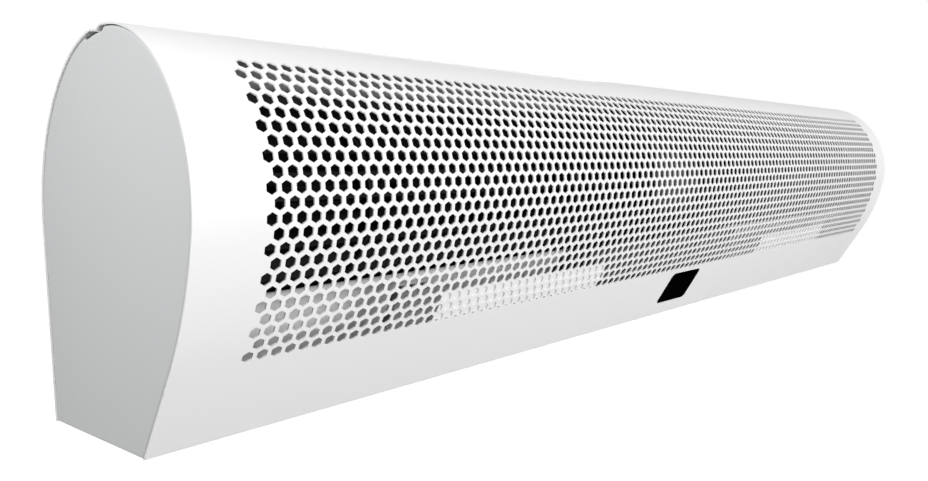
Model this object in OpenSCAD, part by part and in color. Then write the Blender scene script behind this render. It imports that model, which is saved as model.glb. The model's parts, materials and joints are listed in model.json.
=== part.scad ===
// Wall-mounted air curtain with two tangential impellers on one central motor.
// X runs along the casing, Y points into the wall and Z is up. The origin lies on the wall face,
// at the centre of the wall bracket's bolt holes. Outlines are drawn as [y, z] from the foot of
// the casing's flat back, and every node is then set in place at the wall.

/* [Casing] */
// Length of the casing over its two ends
body_l = 900; // [700:10:1500]
// Height of the casing from its underside to the crown
body_h = 190; // [188:0.5:200]
// Radius of the crown arc over the top
crown_r = 66; // [64:0.5:70]
// Radius of the nose arc at the front
nose_r = 80; // [77:0.5:86]
// Radius of the chin arc below the nose
chin_r = 175; // [160:1:200]
// Radius of the nape arc that runs down into the flat back
nape_r = 95; // [90:0.5:98]
// Angle at which the nose arc becomes the crown arc
crown_start = 41; // [38:0.5:46]
// Angle at which the crown arc becomes the nape arc
crown_end = 125; // [120:0.5:130]
// Lean from the vertical where the nose arc becomes the chin arc
chin_turn = 13; // [11:0.5:15]
// Lean of the straight front below the chin arc
chin_lean = 33; // [31:0.5:34]
// Sheet thickness of the front cover and rear shell
sheet_t = 1; // [0.8:0.1:1.5]
// Distance of the top seam in front of the back
seam_d = 72; // [68:0.5:76]
// Open width of the top seam
seam_gap = 0.5; // [0.3:0.1:1.5]
// Depth of the folded lips below the top seam
lip_h = 9; // [6:0.5:10]
// Width of the cover's folded foot on the underside
cover_foot = 15; // [12:0.5:15.5]
// Width of the shell's folded foot on the underside
shell_foot = 28; // [20:0.5:29]

/* [Perforation] */
// Spacing of the hexagonal intake holes along a row
hole_pitch = 22.8; // [20:0.1:40]
// Web left between two neighbouring holes
hole_web = 6.4; // [4:0.1:10]
// Plain margin at each end of the perforated field
field_margin = 36; // [30:1:60]
// Height of the perforated field's lower edge along the cover
field_low = 49; // [48:0.5:60]
// Height of the perforated field's upper edge along the cover
field_high = 194; // [180:0.5:200]

/* [Receiver window] */
// Width of the window
window_w = 47; // [35:0.5:50]
// Height of the window along the sloping front
window_h = 31; // [24:0.5:32]
// Height of the window's centre along the sloping front
window_s = 28.5; // [26:0.5:29]
// Distance of the window's centre from mid-length
window_x = 6.5; // [-10:0.5:10]
// Corner radius of the window
window_r = 4; // [2:0.5:6]
// Thickness of the window pane
window_t = 1.8; // [1.4:0.1:2]

/* [End plates] */
// Sheet thickness of the end plates
end_t = 1.2; // [1:0.1:2]
// Set-back of the end plates from the casing's ends
end_inset = 1; // [0.5:0.1:3]
// Depth of the flange folded round each end plate
end_flange = 12; // [10:0.5:14]
// Gap between an end plate's flange and the sheet round it
end_gap = 0.3; // [0.2:0.05:0.5]

/* [Wall bracket] */
// Length of the wall bracket
bracket_l = 720; // [560:10:760]
// Height of the wall bracket
bracket_h = 72; // [60:1:74]
// Plate thickness of the wall bracket
bracket_t = 2; // [1.5:0.1:3]
// Height of the bolt-hole centre above the casing's underside
fixing_h = 60; // [55:1:61]
// Bolt spacing along the bracket
fixing_dx = 640; // [480:10:680]
// Bolt spacing up the bracket
fixing_dz = 44; // [36:1:48]
// Diameter of the bracket's bolt holes
fixing_d = 6; // [5:0.1:8]
// Diameter of the openings in the shell that clear the bolt heads
head_clear_d = 16; // [14:0.5:20]
// Distance of each hook from mid-length
hook_x = 230; // [150:5:260]
// Width of a hook
hook_w = 30; // [20:1:40]
// Height of a hook's upright
hook_h = 12; // [8:0.5:14]
// Gap between the bracket and the casing's back
hang_gap = 0.3; // [0.2:0.05:0.5]

/* [Impellers] */
// Outside diameter of the impellers
fan_d = 92; // [84:1:93]
// Radial depth of a blade
blade_depth = 13; // [9:0.5:16]
// Thickness of a blade
blade_t = 1.2; // [1:0.1:2]
// Number of blades round an impeller
blade_count = 24; // [16:1:30]
// Number of blade bays along an impeller
bay_count = 4; // [2:1:6]
// Thickness of an impeller disc
disc_t = 2; // [1.5:0.1:3]
// Distance of the shaft in front of the back
shaft_y = 72; // [71:0.5:74]
// Depth of the shaft below the crown
shaft_drop = 80; // [78:0.5:81]
// Diameter of the shaft
shaft_d = 8; // [6:0.5:10]
// Gap from an impeller to the motor bay plate beside it
fan_side_gap = 8; // [6:0.5:12]
// Running clearance on the radius of the shaft
shaft_play = 0.05; // [0.03:0.01:0.08]

/* [Air duct] */
// Sheet thickness of the volute and tongue plates
duct_t = 0.8; // [0.8:0.1:1]
// Inner radius of the volute arc
volute_r = 62; // [60:0.5:63]
// Distance of the volute arc's centre in front of the back
volute_y = 70.5; // [70:0.5:72]
// Depth of the volute arc's centre below the crown
volute_drop = 88; // [86:0.5:89]
// Angle at which the volute arc starts behind the top seam
volute_start = 75; // [70:1:78]
// Distance of the tongue's tip in front of the back
tongue_y = 108; // [107:0.5:110]
// Depth of the tongue's tip below the crown
tongue_drop = 119; // [118:0.5:121]
// Radius of the tongue's rolled tip
tongue_r = 2.5; // [2:0.1:2.8]

/* [Outlet] */
// Distance of the outlet frame's rear wall from the back
outlet_rear = 28; // [28:0.5:32]
// Height of the outlet frame's top above the underside
outlet_h = 34; // [33:0.5:36]
// Wall thickness of the outlet frame
outlet_t = 2; // [1.6:0.1:2.5]
// Largest spacing of the guard ribs across the outlet
rib_pitch = 32; // [26:1:60]
// Height of a guard rib
rib_h = 7; // [5:0.5:8]
// Overlap of the skirts below the duct plates on the outlet frame
skirt_h = 14; // [10:0.5:16]

/* [Vanes] */
// Chord of an outlet vane
vane_chord = 20; // [16:0.5:21]
// Thickness of an outlet vane
vane_t = 2.4; // [2:0.1:4]
// Height of the vane's pivot above the underside
vane_z = 13.5; // [13:0.5:15]
// Diameter of the vane's pivot pins
vane_pin_d = 4; // [3:0.1:5]
// Running clearance on the radius of a pivot pin
vane_play = 0.08; // [0.04:0.01:0.1]

/* [Motor] */
// Diameter of the motor
motor_d = 84; // [70:1:86]
// Length of the motor over its end bells
motor_l = 76; // [66:1:78]
// Half the width of the motor bay between its plates
bay_half = 46; // [45:0.5:50]
// Sheet thickness of the bay plates
bay_t = 1.5; // [1:0.1:2]
// Diameter of the motor's mounting bosses
boss_d = 24; // [20:0.5:26]
// Outside diameter of the rubber rings in the bay plates
ring_d = 40; // [36:0.5:46]

/* [Control box] */
// Distance of the control box's near end left of mid-length
box_left = 150; // [140:1:170]
// Distance of the control box's far end right of mid-length
box_right = 70; // [66:1:90]
// Wall thickness of the control box
box_t = 1.6; // [1.2:0.1:2]
// Height of the control box's floor above the underside
box_z = 9; // [8:0.5:10]

/* [Cable entry] */
// Diameter of the cable that the grommet takes
cable_d = 8; // [6:0.5:9]
// Distance of the grommet from mid-length
entry_x = 25; // [10:1:30]
// Angle of the grommet on the nape arc
entry_turn = 150; // [146:1:152]

/* [Hidden] */

part_gap = 0.3;
seat_play = 0.05;
reach = 400;
half_l = body_l / 2;
back_gap = bracket_t + hang_gap;

// Outward direction of the casing at a turning angle: 0 faces the front and 90 faces up.
function outward(a) = [-cos(a), sin(a)];
function arc_length(r, a) = r * a * PI / 180;
function turned(r, s) = s / r * 180 / PI;

nape_c = [-nape_r, body_h - crown_r - (nape_r - crown_r) * sin(crown_end)];
crown_c = nape_c + (nape_r - crown_r) * outward(crown_end);
nose_c = crown_c + (crown_r - nose_r) * outward(crown_start);
chin_c = nose_c + (nose_r - chin_r) * outward(-chin_turn);
// A point well inside the casing, from which its arcs are drawn as wedges.
casing_heart = [-70, 90];

function chin_end(t) = chin_c + (chin_r - t) * outward(-chin_lean);
// Corner between the straight front and the underside, for an outline inset by t.
function toe(t) = let (p = chin_end(t)) [p[0] + (p[1] - t) * tan(chin_lean), t];

// Distances along the outline, from the toe up the front to the crown.
chin_at = chin_end(0)[1] / cos(chin_lean);
nose_at = chin_at + arc_length(chin_r, chin_lean - chin_turn);
crown_at = nose_at + arc_length(nose_r, chin_turn + crown_start);
function turn_at(s) =
    s < chin_at ? -chin_lean
    : s < nose_at ? -chin_lean + turned(chin_r, s - chin_at)
    : s < crown_at ? -chin_turn + turned(nose_r, s - nose_at)
    : crown_start + turned(crown_r, s - crown_at);
function spot_at(s) =
    s < chin_at ? toe(0) + s * [-sin(chin_lean), cos(chin_lean)]
    : s < nose_at ? chin_c + chin_r * outward(turn_at(s))
    : s < crown_at ? nose_c + nose_r * outward(turn_at(s))
    : crown_c + crown_r * outward(turn_at(s));

shaft_c = [-shaft_y, body_h - shaft_drop];
shaft_r = shaft_d / 2;
fan_r = fan_d / 2;
end_face = half_l - end_inset - end_t;
flange_in = sheet_t + end_gap;

// The outlet frame's front wall stands just behind the cover's folded foot.
foot_gap = 0.5;
outlet_front = -toe(0)[0] - cover_foot - foot_gap;

// The toe of the control box's sloping back, and the slope that it shares with the tongue.
wall_front = -outlet_front - part_gap;
tongue_tip = [-tongue_y, body_h - tongue_drop];
tongue_foot = [wall_front, outlet_h + part_gap];
tongue_lean = atan2(tongue_foot[0] - tongue_tip[0], tongue_tip[1] - tongue_foot[1]);
tongue_len = norm(tongue_tip - tongue_foot);
box_back_gap = 4;
box_top_gap = 2.4;
box_heel = tongue_foot + box_back_gap * [-cos(tongue_lean), -sin(tongue_lean)];
box_top = tongue_tip[1] - box_top_gap;
box_back_len = (box_top - box_heel[1]) / cos(tongue_lean);

// The volute's straight leg leaves its arc at a tangent and lands behind the outlet frame.
volute_c = [-volute_y, body_h - volute_drop];
leg_foot = [-outlet_rear + part_gap, outlet_h + part_gap];
leg_span = norm(leg_foot - volute_c);
leg_turn = atan2(leg_foot[1] - volute_c[1], leg_foot[0] - volute_c[0])
    + acos(volute_r / leg_span);
function round_volute(r, a) = volute_c + r * [cos(a), sin(a)];

duct_in = bay_half + bay_t + part_gap;
duct_out = end_face - part_gap;
fan_in = bay_half + bay_t + fan_side_gap;
bearing_depth = 12;
bearing_gap = 9;
fan_out = end_face - bearing_depth - bearing_gap;
frame_end_gap = 0.5;
frame_half = half_l - end_inset - end_flange - frame_end_gap;
frame_low = sheet_t + part_gap;
foot_t = 1.5;

// Screws
screw_r = 1.95;
screw_hole_r = 2;
head_r = 3.6;
head_h = 1.6;
screw_len = 7;
screw_play = 0.05;
screw_margin = 16;
screw_step = 165;
screw_span = 2 * (frame_half - screw_margin);
screw_count = max(2, round(screw_span / screw_step)) + 1;
foot_screw_x = [
    for (i = [0 : screw_count - 1]) -screw_span / 2 + i * screw_span / (screw_count - 1)
];
cover_screw_y = (toe(0)[0] - outlet_front) / 2 - 1.5;
shell_screw_y = -shell_foot / 2 - 4;
end_screw_z = [22, 88];

// --- shared shapes ---------------------------------------------------------------------------

module at_wall() translate([0, -back_gap, -fixing_h]) children();

// Extrudes an outline drawn as [y, z] from x0 to x1.
module along(x0, x1) rotate([90, 0, 90]) translate([0, 0, x0]) linear_extrude(x1 - x0) children();

module block(x0, x1, y0, y1, z0, z1) translate([x0, y0, z0]) cube([x1 - x0, y1 - y0, z1 - z0]);

// A cylinder along X, on the shaft unless another centre is given.
module axle(x0, x1, r, c = shaft_c) translate([x0, c[0], c[1]]) rotate([0, 90, 0])
    cylinder(r = r, h = x1 - x0, $fn = 96);

module left_side() mirror([1, 0, 0]) children();

module arc_wedge(c, r, a0, a1) intersection() {
    translate(c) circle(r = r, $fn = 180);
    polygon([
        casing_heart,
        casing_heart + 2 * (c + r * outward(a0) - casing_heart),
        casing_heart + 2 * (c + r * outward(a1) - casing_heart)
    ]);
}

// The casing's whole outline, inset by t, from x0 to x1.
module casing_block(t, x0, x1) union() {
    along(x0, x1) arc_wedge(chin_c, chin_r - t, -chin_lean, -chin_turn);
    along(x0, x1) arc_wedge(nose_c, nose_r - t, -chin_turn, crown_start);
    along(x0, x1) arc_wedge(crown_c, crown_r - t, crown_start, crown_end);
    along(x0, x1) arc_wedge(nape_c, nape_r - t, crown_end, 180);
    along(x0, x1) polygon([
        toe(t),
        chin_end(t),
        chin_c + (chin_r - t) * outward(-chin_turn),
        nose_c + (nose_r - t) * outward(crown_start),
        crown_c + (crown_r - t) * outward(crown_end),
        [-t, nape_c[1]],
        [-t, t]
    ]);
}

module casing_sheet() difference() {
    casing_block(0, -half_l, half_l);
    casing_block(sheet_t, -half_l - 1, half_l + 1);
}

// Places children on the outline at distance s, with local -Y outward and Z up the outline.
module on_outline(s, x = 0) translate([x, spot_at(s)[0], spot_at(s)[1]]) rotate([-turn_at(s), 0, 0])
    children();

// Places children on the back of the control box, with local -Y towards the front.
module on_box_back(x, up) translate([x, box_heel[0], box_heel[1]]) rotate([tongue_lean, 0, 0])
    translate([0, 0, up]) children();

// A rounded rectangle w by h in X and Z, from depth y0 to y1.
module round_pane(w, h, r, y0, y1) translate([0, y1, 0]) rotate([90, 0, 0]) linear_extrude(y1 - y0)
    polygon([
        for (q = [0 : 3]) for (k = [0 : 4])
            let (a = 90 * q + 22.5 * k, sx = q == 0 || q == 3 ? 1 : -1, sy = q < 2 ? 1 : -1)
                [sx * (w / 2 - r) + r * cos(a), sy * (h / 2 - r) + r * sin(a)]
    ]);

// A pan-head screw along +Z, its head just below z = 0.
module screw(length) translate([0, 0, -screw_play]) union() {
    translate([0, 0, -head_h]) cylinder(r = head_r, h = head_h, $fn = 48);
    cylinder(r = screw_r, h = length, $fn = 48);
}

module screw_hole(length) cylinder(r = screw_hole_r, h = length, center = true, $fn = 48);

module foot_screws(y) for (x = foot_screw_x) translate([x, y, 0]) children();

// Screws that enter the end plates' flanges from behind, pointing to the front.
module end_screw_places() for (s = [-1, 1], z = end_screw_z)
    translate([s * (end_face - end_flange / 2), 0, z]) rotate([90, 0, 0]) children();

// --- casing ----------------------------------------------------------------------------------

hole_across = hole_pitch - hole_web;
hole_r = hole_across / 2 / cos(30);
row_step = hole_pitch * sin(60);
row_count = floor((field_high - field_low - 2 * hole_r) / row_step) + 1;
row_low = (field_low + field_high - (row_count - 1) * row_step) / 2;
column_count = floor((body_l - 2 * field_margin - hole_across - hole_pitch / 2) / hole_pitch) + 1;
column_low = -((column_count - 1) * hole_pitch + hole_pitch / 2) / 2;

module intake_holes() for (i = [0 : row_count - 1]) on_outline(row_low + i * row_step)
    for (j = [0 : column_count - 1])
        translate([column_low + j * hole_pitch + (i % 2) * hole_pitch / 2, 2, 0])
            rotate([90, 0, 0]) rotate(30) cylinder(r = hole_r, h = 4, $fn = 6);

module front_cover() color("white") at_wall() difference() {
    union() {
        difference() {
            casing_sheet();
            block(-half_l - 1, half_l + 1, -seam_d, 10, -1, body_h + 10);
            block(-half_l - 1, half_l + 1, toe(0)[0] + cover_foot, 10, -1, sheet_t + 2);
        }
        intersection() {
            block(-frame_half, frame_half, -seam_d - sheet_t, -seam_d, body_h - lip_h, body_h);
            casing_block(sheet_t / 2, -half_l, half_l);
        }
    }
    intake_holes();
    on_outline(window_s, window_x) round_pane(window_w, window_h, window_r, -2, 3);
    foot_screws(cover_screw_y) screw_hole(6);
}

module rear_shell() color("gainsboro") at_wall() difference() {
    union() {
        difference() {
            casing_sheet();
            block(-half_l - 1, half_l + 1, -reach, -seam_d + seam_gap, -1, body_h + 10);
            block(-half_l - 1, half_l + 1, -seam_d, -shell_foot, -1, sheet_t + 2);
        }
        intersection() {
            block(-frame_half, frame_half, -seam_d + seam_gap, -seam_d + seam_gap + sheet_t,
                body_h - lip_h, body_h);
            casing_block(sheet_t / 2, -half_l, half_l);
        }
    }
    for (s = [-1, 1]) {
        block(s * hook_x - hook_w / 2 - 2, s * hook_x + hook_w / 2 + 2, -3, 3,
            hook_top - hook_h - 6, hook_top + part_gap);
        for (z = [-1, 1]) translate([s * fixing_dx / 2, 3, fixing_h + z * fixing_dz / 2])
            rotate([90, 0, 0]) cylinder(d = head_clear_d, h = 6, $fn = 48);
    }
    foot_screws(shell_screw_y) screw_hole(6);
    end_screw_places() screw_hole(6);
    entry_place() cylinder(r = entry_neck_r + seat_play, h = 8, center = true, $fn = 48);
    translate([earth_x, 0, earth_z]) rotate([90, 0, 0]) screw_hole(6);
}

// A pressed pan with three weld studs on its inner face for the bearing bracket.
module end_plate() at_wall() {
    difference() {
        casing_block(flange_in, end_face + end_t - end_flange, end_face + end_t);
        casing_block(flange_in + end_t, end_face - end_flange, end_face);
        end_screw_places() screw_hole(12);
    }
    bearing_stud_places() translate([0, 0, -stud_l])
        cylinder(r = screw_r, h = stud_l + end_t / 2, $fn = 48);
}

module end_plate_left() color("lightgray") left_side() end_plate();
module end_plate_right() color("lightgray") end_plate();

// --- wall bracket ----------------------------------------------------------------------------

hook_top = fixing_h + 10;
hook_stem = 3;
hook_t = 2;
hook_back = -sheet_t - part_gap;

module wall_bracket() color("silver") translate([0, 0, -fixing_h]) difference() {
    union() {
        block(-bracket_l / 2, bracket_l / 2, -bracket_t, 0,
            fixing_h - bracket_h / 2, fixing_h + bracket_h / 2);
        for (s = [-1, 1]) translate([s * hook_x, -back_gap, hook_top - hook_stem]) {
            block(-hook_w / 2, hook_w / 2, hook_back - hook_t, hang_gap + bracket_t / 2, 0, hook_stem);
            block(-hook_w / 2, hook_w / 2, hook_back - hook_t, hook_back, 0, hook_h);
        }
    }
    for (x = [-1, 1], z = [-1, 1])
        translate([x * fixing_dx / 2, 1, fixing_h + z * fixing_dz / 2])
            rotate([90, 0, 0]) cylinder(d = fixing_d, h = bracket_t + 2, $fn = 48);
}

// --- air duct --------------------------------------------------------------------------------

crest_h = 12;
crest = round_volute(volute_r + duct_t, volute_start);
skirt_low = outlet_h - skirt_h;
weld = 0.1;
volute_steps = 32;
function volute_angle(i) = volute_start + (leg_turn - volute_start) * i / volute_steps;

// The volute: a lip below the crown, an arc behind the impeller, a straight leg and a skirt.
module volute() at_wall() {
    difference() {
        union() {
            along(duct_in, duct_out) polygon([
                for (i = [0 : volute_steps]) round_volute(volute_r + duct_t, volute_angle(i)),
                leg_foot + duct_t * [cos(leg_turn), sin(leg_turn)],
                leg_foot,
                for (i = [volute_steps : -1 : 0]) round_volute(volute_r, volute_angle(i))
            ]);
            block(duct_in, duct_out, leg_foot[0] - weld, leg_foot[0] + duct_t, skirt_low,
                leg_foot[1] + duct_t);
            block(duct_in, duct_out, crest[0] - duct_t, crest[0] + weld, crest[1] - 2 * duct_t,
                crest[1] + crest_h);
        }
        duct_screw_places() screw_hole(12);
    }
}

module volute_left() color("gainsboro") left_side() volute();
module volute_right() color("gainsboro") volute();

// The tongue: a rolled tip, a sloping plate and a skirt on the outlet frame's front wall.
module tongue() at_wall() difference() {
    union() {
        axle(duct_in, duct_out, tongue_r, tongue_tip);
        translate([duct_in, tongue_foot[0], tongue_foot[1]]) rotate([tongue_lean, 0, 0])
            translate([0, -duct_t, 0]) cube([duct_out - duct_in, duct_t, tongue_len]);
        block(duct_in, duct_out, tongue_foot[0] - duct_t, tongue_foot[0] + weld, skirt_low,
            tongue_foot[1] + duct_t);
    }
    duct_screw_places() screw_hole(12);
}

module tongue_left() color("gainsboro") left_side() tongue();
module tongue_right() color("gainsboro") tongue();

bay_low = outlet_h + part_gap;
bay_high = body_h - lip_h - 8;
bay_front = -tongue_y - 12;
bay_front_low = tongue_tip[1] + 16;
bay_edge_gap = 2;
bay_flange = 12;
bay_back = -sheet_t - part_gap;

// Bay plates close the ends of the ducts and carry the motor's rubber rings. Each has a
// flange folded back along the shell, under the motor.
module bay_plate() at_wall() difference() {
    union() {
        intersection() {
            casing_block(sheet_t + bay_edge_gap, bay_half, bay_half + bay_t);
            along(bay_half - 1, bay_half + bay_t + 1) polygon([
                [-outlet_front, bay_low],
                tongue_foot,
                tongue_tip,
                [bay_front, bay_front_low],
                [bay_front, bay_high],
                [0, bay_high],
                [0, bay_low]
            ]);
        }
        block(bay_half - bay_flange, bay_half + bay_t, bay_back - bay_t, bay_back, bay_low, nape_c[1]);
        block(bay_half, bay_half + bay_t, -sheet_t - bay_edge_gap - bay_t, bay_back, bay_low, nape_c[1]);
    }
    axle(bay_half - 1, bay_half + bay_t + 1, ring_d / 2 + seat_play);
}

module bay_plate_left() color("gray") left_side() bay_plate();
module bay_plate_right() color("gray") bay_plate();

// --- outlet ----------------------------------------------------------------------------------

vane_y = -(outlet_front + outlet_rear) / 2;
vane_c = [vane_y, vane_z];
vane_pin_r = vane_pin_d / 2;
vane_hub_r = 2.6;
vane_gap = 1;
bush_r = 4;
bush_lip = 1.2;
bush_lip_r = bush_r + 1.5;
slot_in = bay_half + 4;
slot_out = frame_half - outlet_t;
vane_in = slot_in + bush_lip + vane_gap;
vane_out = slot_out - bush_lip - vane_gap;
pin_in = slot_in - outlet_t - part_gap;
pin_out = slot_out + outlet_t + part_gap;
rib_count = ceil((slot_out - slot_in) / rib_pitch);
rib_t = 1.6;
foot_front = toe(frame_low)[0] + 3;
foot_rear = -6;
duct_screw_margin = 20;

// Screws that hold the skirts of the duct plates to the outlet frame's walls.
module duct_screw_places()
    for (x = [duct_in + duct_screw_margin, (duct_in + duct_out) / 2, frame_half - duct_screw_margin]) {
        translate([x, -outlet_front - part_gap - duct_t, outlet_h - skirt_h / 2])
            rotate([-90, 0, 0]) children();
        translate([x, -outlet_rear + part_gap + duct_t, outlet_h - skirt_h / 2])
            rotate([90, 0, 0]) children();
    }

// A rectangular tray with two open slots, which guard ribs cross, and a screw flange on each side.

module outlet_frame() color("white") at_wall() difference() {
    union() {
        difference() {
            block(-frame_half, frame_half, -outlet_front, -outlet_rear, frame_low, outlet_h);
            for (s = [-1, 1]) translate([s * (slot_in + slot_out) / 2, 0, 0])
                block(-(slot_out - slot_in) / 2, (slot_out - slot_in) / 2,
                    -outlet_front + outlet_t, -outlet_rear - outlet_t, -1, outlet_h + 1);
            block(-slot_in + outlet_t, slot_in - outlet_t, -outlet_front + outlet_t,
                -outlet_rear - outlet_t, frame_low + outlet_t, outlet_h + 1);
        }
        block(-frame_half, frame_half, foot_front, -outlet_front + 1, frame_low, frame_low + foot_t);
        block(-frame_half, frame_half, -outlet_rear - 1, foot_rear, frame_low, frame_low + foot_t);
        for (s = [-1, 1], i = [1 : rib_count - 1])
            let (x = s * (slot_in + i * (slot_out - slot_in) / rib_count))
                block(x - rib_t / 2, x + rib_t / 2, -outlet_front + 1, -outlet_rear - 1,
                    outlet_h - rib_h, outlet_h);
    }
    for (s = [-1, 1], x = [slot_in, slot_out])
        axle(s * x - 2 * outlet_t, s * x + 2 * outlet_t, bush_r + seat_play, vane_c);
    foot_screws(cover_screw_y) screw_hole(12);
    foot_screws(shell_screw_y) screw_hole(12);
    duct_screw_places() screw_hole(12);
    left_side() duct_screw_places() screw_hole(12);
}

// A flat blade with round edges and a round spine, on one through pin.
module vane() at_wall() union() {
    block(vane_in, vane_out, vane_y - vane_t / 2, vane_y + vane_t / 2,
        vane_z - vane_chord / 2, vane_z + vane_chord / 2);
    for (z = [-1, 1]) axle(vane_in, vane_out, vane_t / 2, vane_c + [0, z * vane_chord / 2]);
    axle(vane_in, vane_out, vane_hub_r, vane_c);
    axle(pin_in, pin_out, vane_pin_r, vane_c);
}

module vane_left() color("silver") left_side() vane();
module vane_right() color("silver") vane();

module vane_bush(x0, x1, lip_x) difference() {
    union() {
        axle(x0, x1, bush_r, vane_c);
        axle(lip_x, lip_x + bush_lip, bush_lip_r, vane_c);
    }
    axle(x0 - 1, x1 + 1, vane_pin_r + vane_play, vane_c);
}

module vane_bushes() color("ivory") at_wall() for (s = [0, 1]) mirror([s, 0, 0]) {
    vane_bush(slot_in - outlet_t, slot_in + bush_lip, slot_in + seat_play);
    vane_bush(slot_out - bush_lip, slot_out + outlet_t, slot_out - bush_lip - seat_play);
}

// --- rotor -----------------------------------------------------------------------------------

hub_r = 11;
hub_l = 18;
hub_nose = 2;
tail_hub_r = 9;
tail_hub_l = 14;
bay_pitch = (fan_out - fan_in - disc_t) / bay_count;
ring_in = fan_r - blade_depth - 2;
blade_r = blade_depth * 0.8;
blade_rise = blade_r * 0.72;
blade_inset = 0.8;

// One blade is a slice of a ring whose centre lies beside the impeller's rim.
module blade_outline() intersection() {
    translate([fan_r - blade_depth / 2, blade_rise]) difference() {
        circle(r = blade_r + blade_t / 2, $fn = 64);
        circle(r = blade_r - blade_t / 2, $fn = 64);
    }
    polygon([
        [fan_r - blade_depth, -blade_depth], [fan_r - blade_inset, -blade_depth],
        [fan_r - blade_inset, blade_rise], [fan_r - blade_depth, blade_rise]
    ]);
}

// Two end discs, rings between the bays, the blades and a hub at each end.
module impeller() at_wall() difference() {
    union() {
        for (i = [0 : bay_count]) difference() {
            axle(fan_in + i * bay_pitch, fan_in + i * bay_pitch + disc_t, fan_r);
            if (i > 0 && i < bay_count)
                axle(fan_in + i * bay_pitch - 1, fan_in + i * bay_pitch + disc_t + 1, ring_in);
        }
        for (k = [0 : blade_count - 1])
            translate([fan_in + disc_t / 2, shaft_c[0], shaft_c[1]]) rotate([k * 360 / blade_count, 0, 0])
                rotate([90, 0, 90]) linear_extrude(fan_out - fan_in - disc_t) blade_outline();
        axle(fan_in - hub_nose, fan_in + hub_l, hub_r);
        axle(fan_out - tail_hub_l, fan_out + 1, tail_hub_r);
    }
    axle(fan_in - 3, fan_out + 3, shaft_r + shaft_play);
    hub_screw_place() cylinder(r = screw_hole_r, h = hub_r + 4, $fn = 48);
}

module impeller_left() color([0.1, 0.1, 0.11]) left_side() impeller();
module impeller_right() color([0.1, 0.1, 0.11]) impeller();

module hub_screw_place() translate([fan_in + hub_l - 6, shaft_c[0], shaft_c[1]])
    rotate([30, 0, 0]) children();

module hub_screws() color("dimgray") at_wall() for (s = [0, 1]) mirror([s, 0, 0]) hub_screw_place()
    translate([0, 0, shaft_r + 0.1]) cylinder(r = screw_r, h = hub_r - shaft_r, $fn = 48);

module stub_shaft() at_wall() axle(fan_out - tail_hub_l + 1, end_face - 3, shaft_r);

module stub_shaft_left() color("silver") left_side() stub_shaft();
module stub_shaft_right() color("silver") stub_shaft();

module motor_shaft() color("silver") at_wall() axle(-fan_in - hub_l + 1, fan_in + hub_l - 1, shaft_r);

// --- motor -----------------------------------------------------------------------------------

bell_l = 18;
bell_wall = 3;
stack_half = motor_l / 2 - bell_l - seat_play;
stator_r = motor_d / 2 - 1;
stator_bore_r = motor_d / 2 - 22;
core_gap = 0.5;
core_half = stack_half - 1;
winding_in = stator_bore_r + 1;
winding_t = 4.4;
winding_l = 8;
winding_room_r = winding_in + winding_t + 0.6;
boss_out = bay_half + bay_t + 2;
sleeve_r = 7;
sleeve_in = motor_l / 2 - 8;
bell_bolt_r = motor_d / 2 - 7;
bolt_head_h = 2.4;
vent_w = 8;
vent_h = 6;
vent_r = boss_d / 2 + 4;
ring_shoulder = 5;

module bell_bolt_places() for (a = [45 : 90 : 315])
    translate([0, shaft_c[0] + bell_bolt_r * cos(a), shaft_c[1] + bell_bolt_r * sin(a)])
        rotate([0, 90, 0]) children();

module bell_bolt_holes() bell_bolt_places()
    cylinder(r = screw_hole_r, h = motor_l * 2, center = true, $fn = 48);

module motor_core() color("gray") at_wall() difference() {
    axle(-core_half, core_half, stator_bore_r - core_gap);
    axle(-motor_l, motor_l, shaft_r + shaft_play);
}

module motor_stator() color("dimgray") at_wall() difference() {
    axle(-stack_half, stack_half, stator_r);
    axle(-motor_l, motor_l, stator_bore_r);
    bell_bolt_holes();
}

// The end turns of the winding are a round-edged ring on each face of the stator.
module motor_windings() color("peru") at_wall() for (s = [0, 1]) mirror([s, 0, 0])
    translate([stack_half + seat_play, shaft_c[0], shaft_c[1]]) rotate([0, 90, 0])
        rotate_extrude($fn = 96) translate([winding_in, 0]) union() {
            square([winding_t, winding_l]);
            translate([winding_t / 2, winding_l]) circle(d = winding_t, $fn = 48);
        }

module motor_bell() at_wall() difference() {
    union() {
        axle(motor_l / 2 - bell_l, motor_l / 2, motor_d / 2);
        axle(motor_l / 2 - 1, boss_out, boss_d / 2);
        axle(sleeve_in, motor_l / 2, sleeve_r + 3);
    }
    difference() {
        axle(motor_l / 2 - bell_l - 1, motor_l / 2 - bell_wall, winding_room_r);
        axle(sleeve_in, motor_l / 2, sleeve_r + 3);
    }
    axle(sleeve_in - 1, boss_out + 1, sleeve_r + seat_play);
    for (a = [22.5 : 45 : 337.5]) translate([0, shaft_c[0], shaft_c[1]]) rotate([a, 0, 0])
        translate([motor_l / 2 - 2 * bell_wall, -vent_w / 2, vent_r])
            cube([4 * bell_wall, vent_w, vent_h]);
    bell_bolt_holes();
}

module motor_bell_left() color("gray") left_side() motor_bell();
module motor_bell_right() color("gray") motor_bell();

// Sleeve bearings in the bells' bosses.
module motor_bushes() color("goldenrod") at_wall() for (s = [0, 1]) mirror([s, 0, 0]) difference() {
    axle(sleeve_in, boss_out, sleeve_r);
    axle(0, motor_l, shaft_r + shaft_play);
}

module motor_bolts() color("silver") at_wall() bell_bolt_places() union() {
    cylinder(r = screw_r, h = motor_l + 2 * bolt_head_h + 1, center = true, $fn = 48);
    for (s = [0, 1]) mirror([0, 0, s]) translate([0, 0, motor_l / 2 + seat_play])
        cylinder(r = head_r, h = bolt_head_h, $fn = 6);
}

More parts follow.
